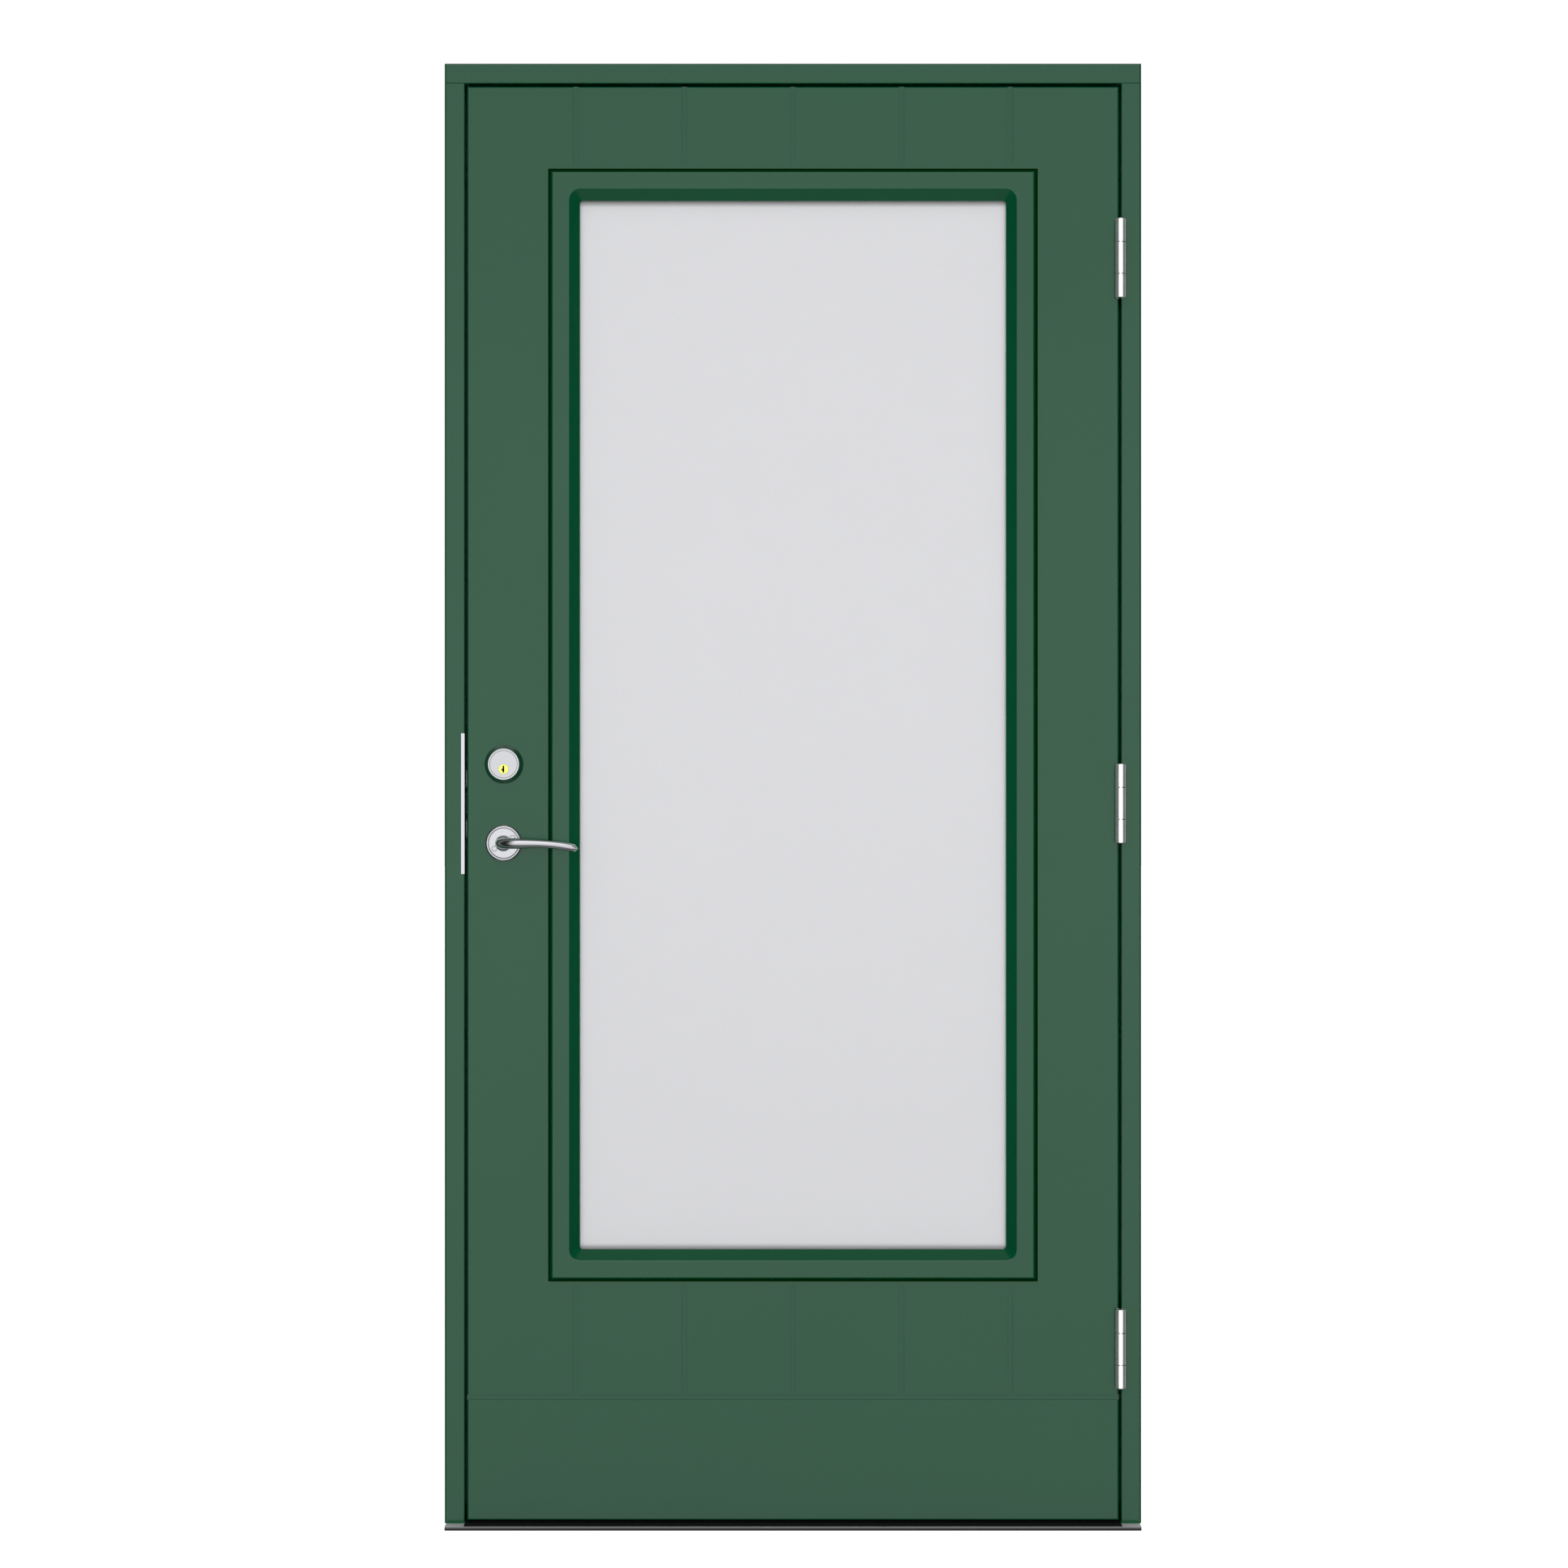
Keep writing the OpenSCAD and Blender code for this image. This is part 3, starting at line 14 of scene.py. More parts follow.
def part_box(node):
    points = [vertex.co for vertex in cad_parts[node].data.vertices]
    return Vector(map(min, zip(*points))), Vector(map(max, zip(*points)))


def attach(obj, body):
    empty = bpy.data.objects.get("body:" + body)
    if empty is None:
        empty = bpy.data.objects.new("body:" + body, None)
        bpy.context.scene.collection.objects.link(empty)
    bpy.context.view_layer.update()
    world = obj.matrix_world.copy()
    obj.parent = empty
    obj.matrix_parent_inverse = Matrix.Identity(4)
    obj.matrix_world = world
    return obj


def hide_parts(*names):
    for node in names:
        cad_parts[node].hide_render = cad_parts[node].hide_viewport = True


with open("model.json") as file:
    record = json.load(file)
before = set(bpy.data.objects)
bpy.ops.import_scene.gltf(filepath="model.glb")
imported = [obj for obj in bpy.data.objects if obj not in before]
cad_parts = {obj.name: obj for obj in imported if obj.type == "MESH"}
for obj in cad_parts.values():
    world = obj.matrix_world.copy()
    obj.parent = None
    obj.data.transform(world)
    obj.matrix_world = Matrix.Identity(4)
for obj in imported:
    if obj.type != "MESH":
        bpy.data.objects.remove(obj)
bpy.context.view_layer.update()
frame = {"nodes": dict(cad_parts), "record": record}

bl_info = {
    "name": "Glazed Front Door",
    "version": (1, 0, 0),
    "blender": (4, 5, 0),
    "location": "3D View > Sidebar > Front Door",
    "description": "Dresses a glazed front door and its frame",
    "category": "Object",
}

MM = 0.001
BODY_OF = {name: body for body, names in frame["record"]["behaviour"]["bodies"].items() for name in names}
SLOT_OF = {part["node"]: part["material_slot"] for part in frame["record"]["subparts"]}
# Corners that turn by more than this stay sharp, and are the ones that get rounded
SHARP = math.radians(28)
# Points closer than this are one point
TOUCH = 0.002 * MM
SPIN_STEPS = 96
# How strongly paint and glass bend light
IOR = 1.5

# Places that the fittings share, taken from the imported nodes
OUTER_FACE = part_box("outer_skin")[0].y
INNER_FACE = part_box("inner_skin")[1].y
HANDLE = sum(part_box("outer_rose"), Vector()) / 2
CYLINDER = sum(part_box("cylinder_ring"), Vector()) / 2
HINGES = ("bottom", "middle", "top")


def linear(code):
    """Linear RGB of an sRGB hex colour."""
    parts = [int(code[i : i + 2], 16) / 255 for i in (1, 3, 5)]
    return tuple(c / 12.92 if c <= 0.04045 else ((c + 0.055) / 1.055) ** 2.4 for c in parts)


def colour(name, description, code):
    """A colour setting with an sRGB hex default."""
    return bpy.props.FloatVectorProperty(
        name=name, description=description, subtype="COLOR", size=3, min=0, max=1, default=linear(code)
    )


def length(name, description, default):
    """A length setting in metres."""
    return bpy.props.FloatProperty(name=name, description=description, unit="LENGTH", min=0, default=default)


def glow(name, description, default):
    """A setting for how bright a part of the studio is."""
    return bpy.props.FloatProperty(name=name, description=description, min=0, default=default)


class FRONTDOOR_PG_finishes(bpy.types.PropertyGroup):
    """Colours and gloss of the door's finishes"""

    paint: colour("Paint", "Colour of the paint", "#024528")
    paint_roughness: bpy.props.FloatProperty(
        name="Paint roughness",
        description="How matt the paint is",
        subtype="FACTOR",
        min=0,
        max=1,
        default=0.12,
    )
    etched: colour("Etched glass", "Colour of the etched face of the outer pane", "#dbdbdd")
    chrome: colour("Chrome", "Colour of the roses, the levers, the cylinder and the turn knob", "#c6c7c9")
    steel: colour("Satin steel", "Colour of the strike, the faceplate and the deadbolt", "#d5d6d8")
    nickel: colour("Nickel", "Colour of the hinges", "#fcfcfc")
    brass: colour("Brass", "Colour of the key plug", "#f2f87c")
    # The sill's colour shows on its lit top only; its front has painted shade
    sill: colour("Sill", "Colour of the sill where feet keep it clean", "#b4b5b4")
    spacer: colour("Spacer", "Colour of the spacers between the panes", "#b4b6b5")
    black: colour("Black", "Colour of the rubber and the composite pieces", "#0b0c0b")
    arris: length("Arris", "Rounding of the painted edges", 0.4 * MM)
    shoulder: length("Shoulder", "Rounding of the glazing frames' flat faces", 1.5 * MM)


class FRONTDOOR_PG_lever(bpy.types.PropertyGroup):
    """Sizes of the lever handles and their roses"""

    reach: length("Reach", "From the handle's axis to the tip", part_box("outer_lever")[1].x - HANDLE.x)
    stand: length("Stand-off", "From the leaf to the middle of the bar", 46 * MM)
    bar: length("Bar", "Height of the bar at the handle's axis", 18.9 * MM)
    waist: length("Waist", "Height of the bar where it is slimmest", 10.9 * MM)
    droop: length("Droop", "How far the tip hangs below the axis", 7.2 * MM)
    turn_in: length("Return", "How far the tip bends back to the leaf", 9 * MM)
    neck: length("Neck", "Radius of the neck in front of the rose", 11.5 * MM)
    bend: length("Bend", "Radius of the bend from the neck into the bar", 27 * MM)
    dome: length("Dome", "Rounding of the neck's front edge", 7 * MM)
    rose: length("Rose", "Radius of the rose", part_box("outer_rose")[1].x - HANDLE.x)


class FRONTDOOR_PG_stage(bpy.types.PropertyGroup):
    """Camera and light of the studio"""

    eye: bpy.props.FloatVectorProperty(
        name="Camera",
        description="Where the camera stands",
        subtype="XYZ",
        size=3,
        default=(-0.0127, -5.0525, 1.056),
    )
    lens: bpy.props.FloatProperty(name="Lens", description="Focal length", unit="CAMERA", default=80.8)
    key: bpy.props.FloatProperty(
        name="Key light", description="Power of the front light", unit="POWER", default=100
    )
    front: glow("Front", "Glow of the studio in front", 1.28)
    upper: glow("Upper", "Glow of the softbox above the front", 1.7)
    side: glow("Side", "Glow of the studio at the sides", 0.02)
    ends: glow("Ends", "Glow straight above and below", 0.25)
    back: glow("Back", "Glow of the studio behind the door", 0.8)
    floor: colour("Floor", "Colour of the floor", "#dcdcdc")


class FRONTDOOR_PG_settings(bpy.types.PropertyGroup):
    """All settings of the door"""

    finishes: bpy.props.PointerProperty(type=FRONTDOOR_PG_finishes)
    lever: bpy.props.PointerProperty(type=FRONTDOOR_PG_lever)
    stage: bpy.props.PointerProperty(type=FRONTDOOR_PG_stage)


def settings():
    """The door's settings on the current scene."""
    return bpy.context.scene.front_door


# Materials


def add(tree, kind, links=None, **options):
    """Adds a node, sets its options, and sets or links its inputs."""
    node = tree.nodes.new(kind)
    for name, value in options.items():
        setattr(node, name, value)
    for name, value in (links or {}).items():
        if isinstance(value, bpy.types.NodeSocket):
            tree.links.new(value, node.inputs[name])
        else:
            node.inputs[name].default_value = value
    return node


def object_place(tree):
    """A socket with the place on the object."""
    return add(tree, "ShaderNodeTexCoord").outputs["Object"]


def along(tree, place, axis):
    """A socket with one of the X, Y and Z of a place."""
    return add(tree, "ShaderNodeSeparateXYZ", {"Vector": place}).outputs[axis]


def maths(tree, operation, *values):
    """A socket with the result of an operation on numbers or sockets."""
    return add(tree, "ShaderNodeMath", dict(enumerate(values)), operation=operation).outputs["Value"]


def vector_maths(tree, operation, result, *values):
    """A socket with the result, Vector or Value, of an operation on vectors."""
    return add(tree, "ShaderNodeVectorMath", dict(enumerate(values)), operation=operation).outputs[result]


def smooth(tree, value, low, high, top=1.0):
    """A socket that rises smoothly from 0 at low to top at high."""
    links = {"Value": value, "From Min": low, "From Max": high, "To Min": 0.0, "To Max": top}
    return add(tree, "ShaderNodeMapRange", links, interpolation_type="SMOOTHSTEP").outputs["Result"]


def even(tree, value, low, high):
    """A socket that rises evenly from 0 at low to 1 at high."""
    links = {"Value": value, "From Min": low, "From Max": high}
    return add(tree, "ShaderNodeMapRange", links).outputs["Result"]


def between(tree, factor, first, second):
    """A socket that goes from one number to another as factor goes from 0 to 1."""
    links = {"Value": factor, "To Min": first, "To Max": second}
    return add(tree, "ShaderNodeMapRange", links).outputs["Result"]


def blend(tree, factor, first, second):
    """A socket that goes from one colour to another as factor goes from 0 to 1."""
    links = {"Factor": factor, "A": first, "B": second}
    return add(tree, "ShaderNodeMix", links, data_type="RGBA").outputs["Result"]


def noise(tree, place, size, detail, stretch=None):
    """A socket with noise in spots of a size in metres, drawn out along the axes that stretch shrinks."""
    if stretch:
        place = add(tree, "ShaderNodeMapping", {"Vector": place, "Scale": stretch}).outputs["Vector"]
    links = {"Vector": place, "Scale": 1 / size, "Detail": detail}
    return add(tree, "ShaderNodeTexNoise", links).outputs["Fac"]


def relief(tree, height, strength, distance):
    """A socket with the normals of a face that is raised by up to a distance in metres."""
    links = {"Height": height, "Strength": strength, "Distance": distance}
    return add(tree, "ShaderNodeBump", links).outputs["Normal"]


def rgba(shade, factor=1.0):
    """Four numbers for a colour socket, made lighter or darker by factor."""
    return (*(min(1.0, c * factor) for c in shade), 1.0)


def material(name, build):
    """The material of that name; the first time, build fills its tree and returns the shader's inputs."""
    found = bpy.data.materials.get(name)
    if found:
        return found
    made = bpy.data.materials.new(name)
    made.use_nodes = True
    tree = made.node_tree
    tree.nodes.clear()
    shader = add(tree, "ShaderNodeBsdfPrincipled", build(tree))
    add(tree, "ShaderNodeOutputMaterial", {"Surface": shader.outputs["BSDF"]})
    return made


def satin_paint():
    """Acrylic paint sprayed on board: satin, with a faint orange peel and slow drifts of tone."""

    def build(tree):
        paint, roughness = settings().finishes.paint, settings().finishes.paint_roughness
        peel_size, peel_height, peel_strength, peel_gloss = 2.2 * MM, 0.15 * MM, 0.1, 0.02
        drift_size, darkest, lightest = 240 * MM, 0.94, 1.06
        place = object_place(tree)
        peel = noise(tree, place, peel_size, 2.0)
        drift = noise(tree, place, drift_size, 3.0)
        return {
            "Base Color": blend(tree, drift, rgba(paint, darkest), rgba(paint, lightest)),
            "Roughness": between(tree, peel, roughness - peel_gloss, roughness + peel_gloss),
            "Normal": relief(tree, peel, peel_strength, peel_height),
            "IOR": IOR,
        }

    return material("satin_sprayed_paint", build)


def etched_glass():
    """Float glass etched with acid on one face: milky white, with painted shade along its top and bottom
    edges, next to the seals.
    """

    def build(tree):
        etched = settings().finishes.etched
        speck_size, speck_height, speck_strength, darkest, lightest = 1.6 * MM, 0.2 * MM, 0.2, 0.96, 1.03
        cloud_size, smoothest, roughest = 60 * MM, 0.5, 0.62
        hidden_rim, painted_shade_width, painted_shade_over, shade = 13 * MM, 9 * MM, 1 * MM, 0.4
        low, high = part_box("outer_pane")
        middle = (low.z + high.z) / 2
        seal = (high.z - low.z) / 2 - hidden_rim
        place = object_place(tree)
        speck = noise(tree, place, speck_size, 3.0)
        cloud = noise(tree, place, cloud_size, 2.0)
        tone = blend(tree, speck, rgba(etched, darkest), rgba(etched, lightest))
        from_middle = maths(tree, "ABSOLUTE", maths(tree, "SUBTRACT", along(tree, place, "Z"), middle))
        # Painted shade: the colour darkens towards the top and bottom edges, where the seals stand
        clear_of_painted_shade = smooth(tree, from_middle, seal + painted_shade_over, seal - painted_shade_width)
        return {
            "Base Color": blend(tree, clear_of_painted_shade, rgba(etched, shade), tone),
            "Roughness": between(tree, cloud, smoothest, roughest),
            "Normal": relief(tree, speck, speck_strength, speck_height),
            "IOR": IOR,
            "Transmission Weight": 0.2,
        }

    return material("acid_etched_glass", build)


def clear_glass():
    """Float glass: clear, with the faint green of iron in slow waves."""

    def build(tree):
        wave_size = 90 * MM
        wave = noise(tree, object_place(tree), wave_size, 1.0)
        return {
            "Base Color": blend(tree, wave, rgba(linear("#f2f9f5")), rgba(linear("#f6fbf8"))),
            "Roughness": 0.02,
            "IOR": IOR,
            "Transmission Weight": 1.0,
        }

    return material("clear_float_glass", build)


def metal(name, shade, roughness, spread, grain, stretch=None, strength=0.02, bare=1.0, painted_shade_depth=None):
    """A metal whose gloss and face vary with a grain of a size in metres.

    Deeper than a given depth on Y, if one is given, it is painted black as painted shade in a recess.
    """

    def build(tree):
        grain_height, darkest, lightest, painted_shade_edge = 0.1 * MM, 0.97, 1.02, 0.3 * MM
        place = object_place(tree)
        line = noise(tree, place, grain, 3.0, stretch)
        face = blend(tree, line, rgba(shade, darkest), rgba(shade, lightest))
        if painted_shade_depth is not None:
            # Painted shade: black deeper than the given depth
            deep = even(tree, along(tree, place, "Y"), painted_shade_depth, painted_shade_depth + painted_shade_edge)
            face = blend(tree, deep, face, rgba(settings().finishes.black))
        return {
            "Base Color": face,
            "Metallic": bare,
            "Roughness": between(tree, line, roughness - spread, roughness + spread),
            "Normal": relief(tree, line, strength, grain_height),
        }

    return material(name, build)


def chrome():
    """Polished chrome plate on brass: mirror bright, with the last faint marks of the polishing mop."""
    return metal("polished_chrome_plate", settings().finishes.chrome, 0.09, 0.03, 3 * MM, strength=0.004)


def satin_chrome():
    """Chrome plate brushed dull: soft grey turns of the light on the lever, the cylinder and its ring."""
    return metal("satin_chrome_plate", settings().finishes.chrome, 0.24, 0.04, 3 * MM, (0.1, 1, 1), 0.004)


def satin_steel():
    """Brushed stainless steel: soft sheen, with fine lines along the height of the fittings."""
    shade = settings().finishes.steel
    return metal("brushed_stainless_steel", shade, 0.28, 0.07, 0.8 * MM, (1, 1, 0.06), 0.06)


def nickel_plate():
    """Satin nickel on steel under clear lacquer: a bright line down each knuckle and milky grey sides."""
    shade = settings().finishes.nickel
    return metal("lacquered_satin_nickel", shade, 0.16, 0.04, 0.8 * MM, (1, 1, 0.06), 0.04, bare=0.85)


def zinc_steel():
    """Zinc-plated steel: grey, with the cloudy spangle of the plating."""
    return metal("zinc_plated_steel", linear("#a9adb0"), 0.38, 0.1, 4 * MM)


def latch_steel_painted_dark():
    """Steel painted dark grey, with a dull sheen and fine pores: painted shade for the latch, which sits in
    the dark gap.
    """
    return metal("steel_with_painted_shade", linear("#3c3e40"), 0.42, 0.08, 0.6 * MM)


def turned_brass():
    """Turned brass: warm yellow and bright on the face, and painted black inside the keyway as painted
    shade.
    """
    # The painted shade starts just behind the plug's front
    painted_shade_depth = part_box("key_plug")[0].y + 0.3 * MM
    return metal("turned_brass", settings().finishes.brass, 0.22, 0.05, 1 * MM, painted_shade_depth=painted_shade_depth)


def anodised_aluminium():
    """Extruded and anodised aluminium: matt silver, with die lines along the extrusion."""
    return metal("anodised_aluminium", settings().finishes.spacer, 0.36, 0.08, 0.9 * MM, (0.02, 1, 1), 0.08)


def sill_aluminium_painted_shade():
    """Anodised aluminium: pale grey on top, with painted shade down the front edge, darkest at the foot."""

    def build(tree):
        low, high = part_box("sill_plate")
        foot, edge, top = low.z, high.z - 0.6 * MM, high.z - 0.1 * MM
        line_size, line_height, line_strength = 0.9 * MM, 0.1 * MM, 0.1
        place = object_place(tree)
        height = along(tree, place, "Z")
        line = noise(tree, place, line_size, 3.0, (0.02, 1, 1))
        # Painted shade: the front face is painted dark, darkest at the foot, and only the top gets the
        # sill's colour
        front = smooth(tree, height, foot, edge)
        lit_top = smooth(tree, height, edge, top)
        painted_front_shade = blend(tree, front, rgba(linear("#222322")), rgba(linear("#545655")))
        return {
            "Base Color": blend(tree, lit_top, painted_front_shade, rgba(settings().finishes.sill)),
            "Roughness": 0.6,
            "Normal": relief(tree, line, line_strength, line_height),
        }

    return material("anodised_aluminium_painted_shade", build)


def solid(name, dark, light, roughness, grain, stretch=None, strength=0.2, sheen=0.5):
    """A plain solid whose tone and face vary with a grain of a size in metres."""

    def build(tree):
        grain_height, spread = 0.2 * MM, 0.06
        spot = noise(tree, object_place(tree), grain, 4.0, stretch)
        return {
            "Base Color": blend(tree, spot, rgba(dark), rgba(light)),
            "Roughness": between(tree, spot, roughness - spread, roughness + spread),
            "Normal": relief(tree, spot, strength, grain_height),
            "Specular IOR Level": sheen,
        }

    return material(name, build)


def seal_rubber():
    """Extruded EPDM: deep matt black with a fine dusty grain."""
    black = settings().finishes.black
    return solid("extruded_rubber", rgba(black, 0.8)[:3], rgba(black, 1.4)[:3], 0.8, 1.2 * MM, sheen=0.2)


def black_composite():
    """Glass-filled polyamide, moulded: black with a slight sheen and a fine spark erosion texture."""
    black = settings().finishes.black
    return solid("moulded_composite", rgba(black, 0.9)[:3], rgba(black, 1.5)[:3], 0.7, 0.9 * MM, sheen=0.2)


def painted_groove_shade():
    """A dull, nearly black green bead in the groove round the glazing frame: painted shade in the groove."""
    return solid("painted_shade_bead", linear("#021f03"), linear("#032805"), 0.9, 1 * MM, sheen=0.0)


def planed_pine():
    """Planed pine: straw coloured with streaks along the grain."""
    return solid("planed_pine", linear("#b98a52"), linear("#dcb988"), 0.6, 6 * MM, (1, 1, 0.05))


def rigid_foam():
    """Rigid polyurethane foam: pale yellow with open cells."""
    return solid("rigid_foam", linear("#c9b76c"), linear("#e6dba6"), 0.85, 1.5 * MM, strength=0.5)


# Making pieces


def finished(name, bm, look, body, replaced=(), weighted=True):
    """Makes a piece from a bmesh, smooth with sharp corners, that rides on a body and stands for nodes."""
    bm.normal_update()
    for face in bm.faces:
        face.smooth = True
    for edge in bm.edges:
        edge.smooth = edge.calc_face_angle(0.0) < SHARP
    mesh = bpy.data.meshes.new(name)
    bm.to_mesh(mesh)
    bm.free()
    if "custom_normal" in mesh.attributes:
        mesh.attributes.remove(mesh.attributes["custom_normal"])
    mesh.materials.append(look)
    obj = bpy.data.objects.new(name, mesh)
    bpy.context.scene.collection.objects.link(obj)
    if weighted:
        obj.modifiers.new("Flat faces", "WEIGHTED_NORMAL").keep_sharp = True
    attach(obj, body)
    if replaced:
        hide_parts(*replaced)


def merged_copy(node):
    """A copy of a node's mesh with its triangles joined and its flat faces whole."""
    bm = bmesh.new()
    bm.from_mesh(frame["nodes"][node].data)
    bmesh.ops.remove_doubles(bm, verts=bm.verts, dist=TOUCH)
    bmesh.ops.dissolve_limit(
        bm,
        angle_limit=math.radians(0.5),
        use_dissolve_boundaries=False,
        verts=bm.verts,
        edges=bm.edges,
        delimit=set(),
    )
    return bm


def ease_edges(bm, width, segments=2, plane=None):
    """Rounds the corner edges of a mesh by width: all of them, or those in the upright plane at one Y."""
    in_plane = 0.01 * MM
    edges = [e for e in bm.edges if e.is_manifold and e.calc_face_angle(0.0) > SHARP]
    if plane is not None:
        edges = [e for e in edges if all(abs(v.co.y - plane) < in_plane for v in e.verts)]
    bmesh.ops.bevel(
        bm,
        geom=edges,
        offset=width,
        offset_type="OFFSET",
        segments=segments,
        profile=0.5,
        affect="EDGES",
        clamp_overlap=True,
        material=-1,
    )


def eased(node, look, width, segments=2):
    """Makes a piece with a node's shape and its edges rounded by width."""
    bm = merged_copy(node)
    ease_edges(bm, width, segments)
    finished(f"{node}_eased", bm, look, BODY_OF[node], (node,))


def surfaced(look, *nodes):
    """Gives nodes that keep their own shape a material."""
    for node in nodes:
        for slot in frame["nodes"][node].material_slots:
            slot.material = look


def spun(profile):
    """A solid turned about Y, facing -Y, from radii and heights above the leaf in millimetres."""
    bm = bmesh.new()
    points = [bm.verts.new((radius * MM, -height * MM, 0)) for radius, height in profile]
    edges = [bm.edges.new(pair) for pair in zip(points, points[1:])]
    bmesh.ops.spin(
        bm,
        geom=points + edges,
        cent=(0, 0, 0),
        axis=(0, 1, 0),
        dvec=(0, 0, 0),
        angle=math.tau,
        steps=SPIN_STEPS,
        use_merge=True,
    )
    bmesh.ops.remove_doubles(bm, verts=bm.verts, dist=TOUCH)
    bmesh.ops.recalc_face_normals(bm, faces=bm.faces)
    return bm


def placed(bm, x, y, z, inside=False):
    """Moves a mesh made about the origin to its place on the leaf, mirrored if it is on the inside."""
    if inside:
        bmesh.ops.scale(bm, vec=(1, -1, 1), verts=bm.verts)
        bmesh.ops.recalc_face_normals(bm, faces=bm.faces)
    bmesh.ops.translate(bm, vec=(x, y, z), verts=bm.verts)
    return bm


class FRONTDOOR_OT_painted_timber(bpy.types.Operator):
    """Paint the frame, the leaf and the glazing frames and ease their edges"""

    bl_idname = "frontdoor.painted_timber"
    bl_label = "Painted Timber"

    def execute(self, context):
        for node, slot in SLOT_OF.items():
            if slot == "green_paint":
                self.paint(node)
        surfaced(planed_pine(), "glazing_liner")
        surfaced(rigid_foam(), "leaf_core")
        self.lay_painted_groove_shade()
        return {"FINISHED"}

    def lay_painted_groove_shade(self):
        """Lays a dark bead in the groove round the outer glazing frame, as painted shade in the groove."""
        low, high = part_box("outer_glazing_frame")
        width, depth, front = 2.9 * MM, 3.9 * MM, 1.5 * MM
        bm = bmesh.new()
        bars = (
            (low.x - width, low.x, low.z - width, high.z + width),
            (high.x, high.x + width, low.z - width, high.z + width),
            (low.x, high.x, low.z - width, low.z),
            (low.x, high.x, high.z, high.z + width),
        )
        for x0, x1, z0, z1 in bars:
            centre = ((x0 + x1) / 2, OUTER_FACE + (front + depth) / 2, (z0 + z1) / 2)
            size = Matrix.Diagonal((x1 - x0, depth - front, z1 - z0, 1))
            bmesh.ops.create_cube(bm, size=1, matrix=Matrix.Translation(centre) @ size)
        finished("groove_painted_shade_bead", bm, painted_groove_shade(), "leaf")

    def paint(self, node):
        """Rounds a node's edges, more at the flat faces of the glazing frames, and paints it."""
        finishes = settings().finishes
        bm = merged_copy(node)
        low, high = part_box(node)
        if node == "outer_glazing_frame":
            ease_edges(bm, finishes.shoulder, 4, low.y)
        elif node == "inner_glazing_frame":
            ease_edges(bm, finishes.shoulder, 4, high.y)
        else:
            ease_edges(bm, finishes.arris)
        finished(f"{node}_painted", bm, satin_paint(), BODY_OF[node], (node,))


class FRONTDOOR_OT_glazing(bpy.types.Operator):
    """Finish the three panes with their spacers, seals and blocks"""

    bl_idname = "frontdoor.glazing"
    bl_label = "Glazing"

    def execute(self, context):
        surfaced(etched_glass(), "outer_pane")
        surfaced(clear_glass(), "middle_pane", "inner_pane")
        surfaced(anodised_aluminium(), "pane_spacers")
        surfaced(seal_rubber(), "glazing_seals")
        surfaced(black_composite(), "setting_blocks")
        surfaced(zinc_steel(), "glazing_screws")
        return {"FINISHED"}


class FRONTDOOR_OT_sill(bpy.types.Operator):
    """Finish the sill with its tread and upstand, and the weatherstrip"""

    bl_idname = "frontdoor.sill"
    bl_label = "Sill and Weatherstrip"

    def execute(self, context):
        eased("sill_plate", sill_aluminium_painted_shade(), 0.3 * MM)
        eased("sill_tread", black_composite(), 0.25 * MM)
        eased("sill_stop", black_composite(), 0.8 * MM)
        surfaced(seal_rubber(), "sill_pad")
        eased("frame_gasket", seal_rubber(), 1.7 * MM, 4)
        return {"FINISHED"}


class FRONTDOOR_OT_hinges(bpy.types.Operator):
    """Finish the hinges with their pins and screws"""

    bl_idname = "frontdoor.hinges"
    bl_label = "Hinges"

    def execute(self, context):
        for place in HINGES:
            eased(f"hinge_{place}_frame_leaf", nickel_plate(), 0.4 * MM)
            eased(f"hinge_{place}_door_leaf", nickel_plate(), 0.4 * MM)
        eased("hinge_pins", nickel_plate(), 0.5 * MM, 3)
        surfaced(nickel_plate(), "hinge_frame_screws", "hinge_leaf_screws")
        return {"FINISHED"}


class FRONTDOOR_OT_lock(bpy.types.Operator):
    """Finish the lock, its bolts and the strike"""

    bl_idname = "frontdoor.lock"
    bl_label = "Lock and Strike"

    def execute(self, context):
        for node in ("lock_faceplate", "deadbolt", "strike_plate"):
            eased(node, satin_steel(), 0.4 * MM)
        # The latch is painted dark as painted shade, where it shows in the gap beside the strike
        eased("latch_bolt", latch_steel_painted_dark(), 0.4 * MM)
        surfaced(black_composite(), "strike_box")
        surfaced(satin_steel(), "strike_screws")
        surfaced(
            zinc_steel(),
            "lock_case",
            "lock_cover",
            "spindle",
            "handle_follower",
            "turn_hub",
            "latch_spring",
            "fixing_sleeves",
            "corner_screws",
        )
        return {"FINISHED"}


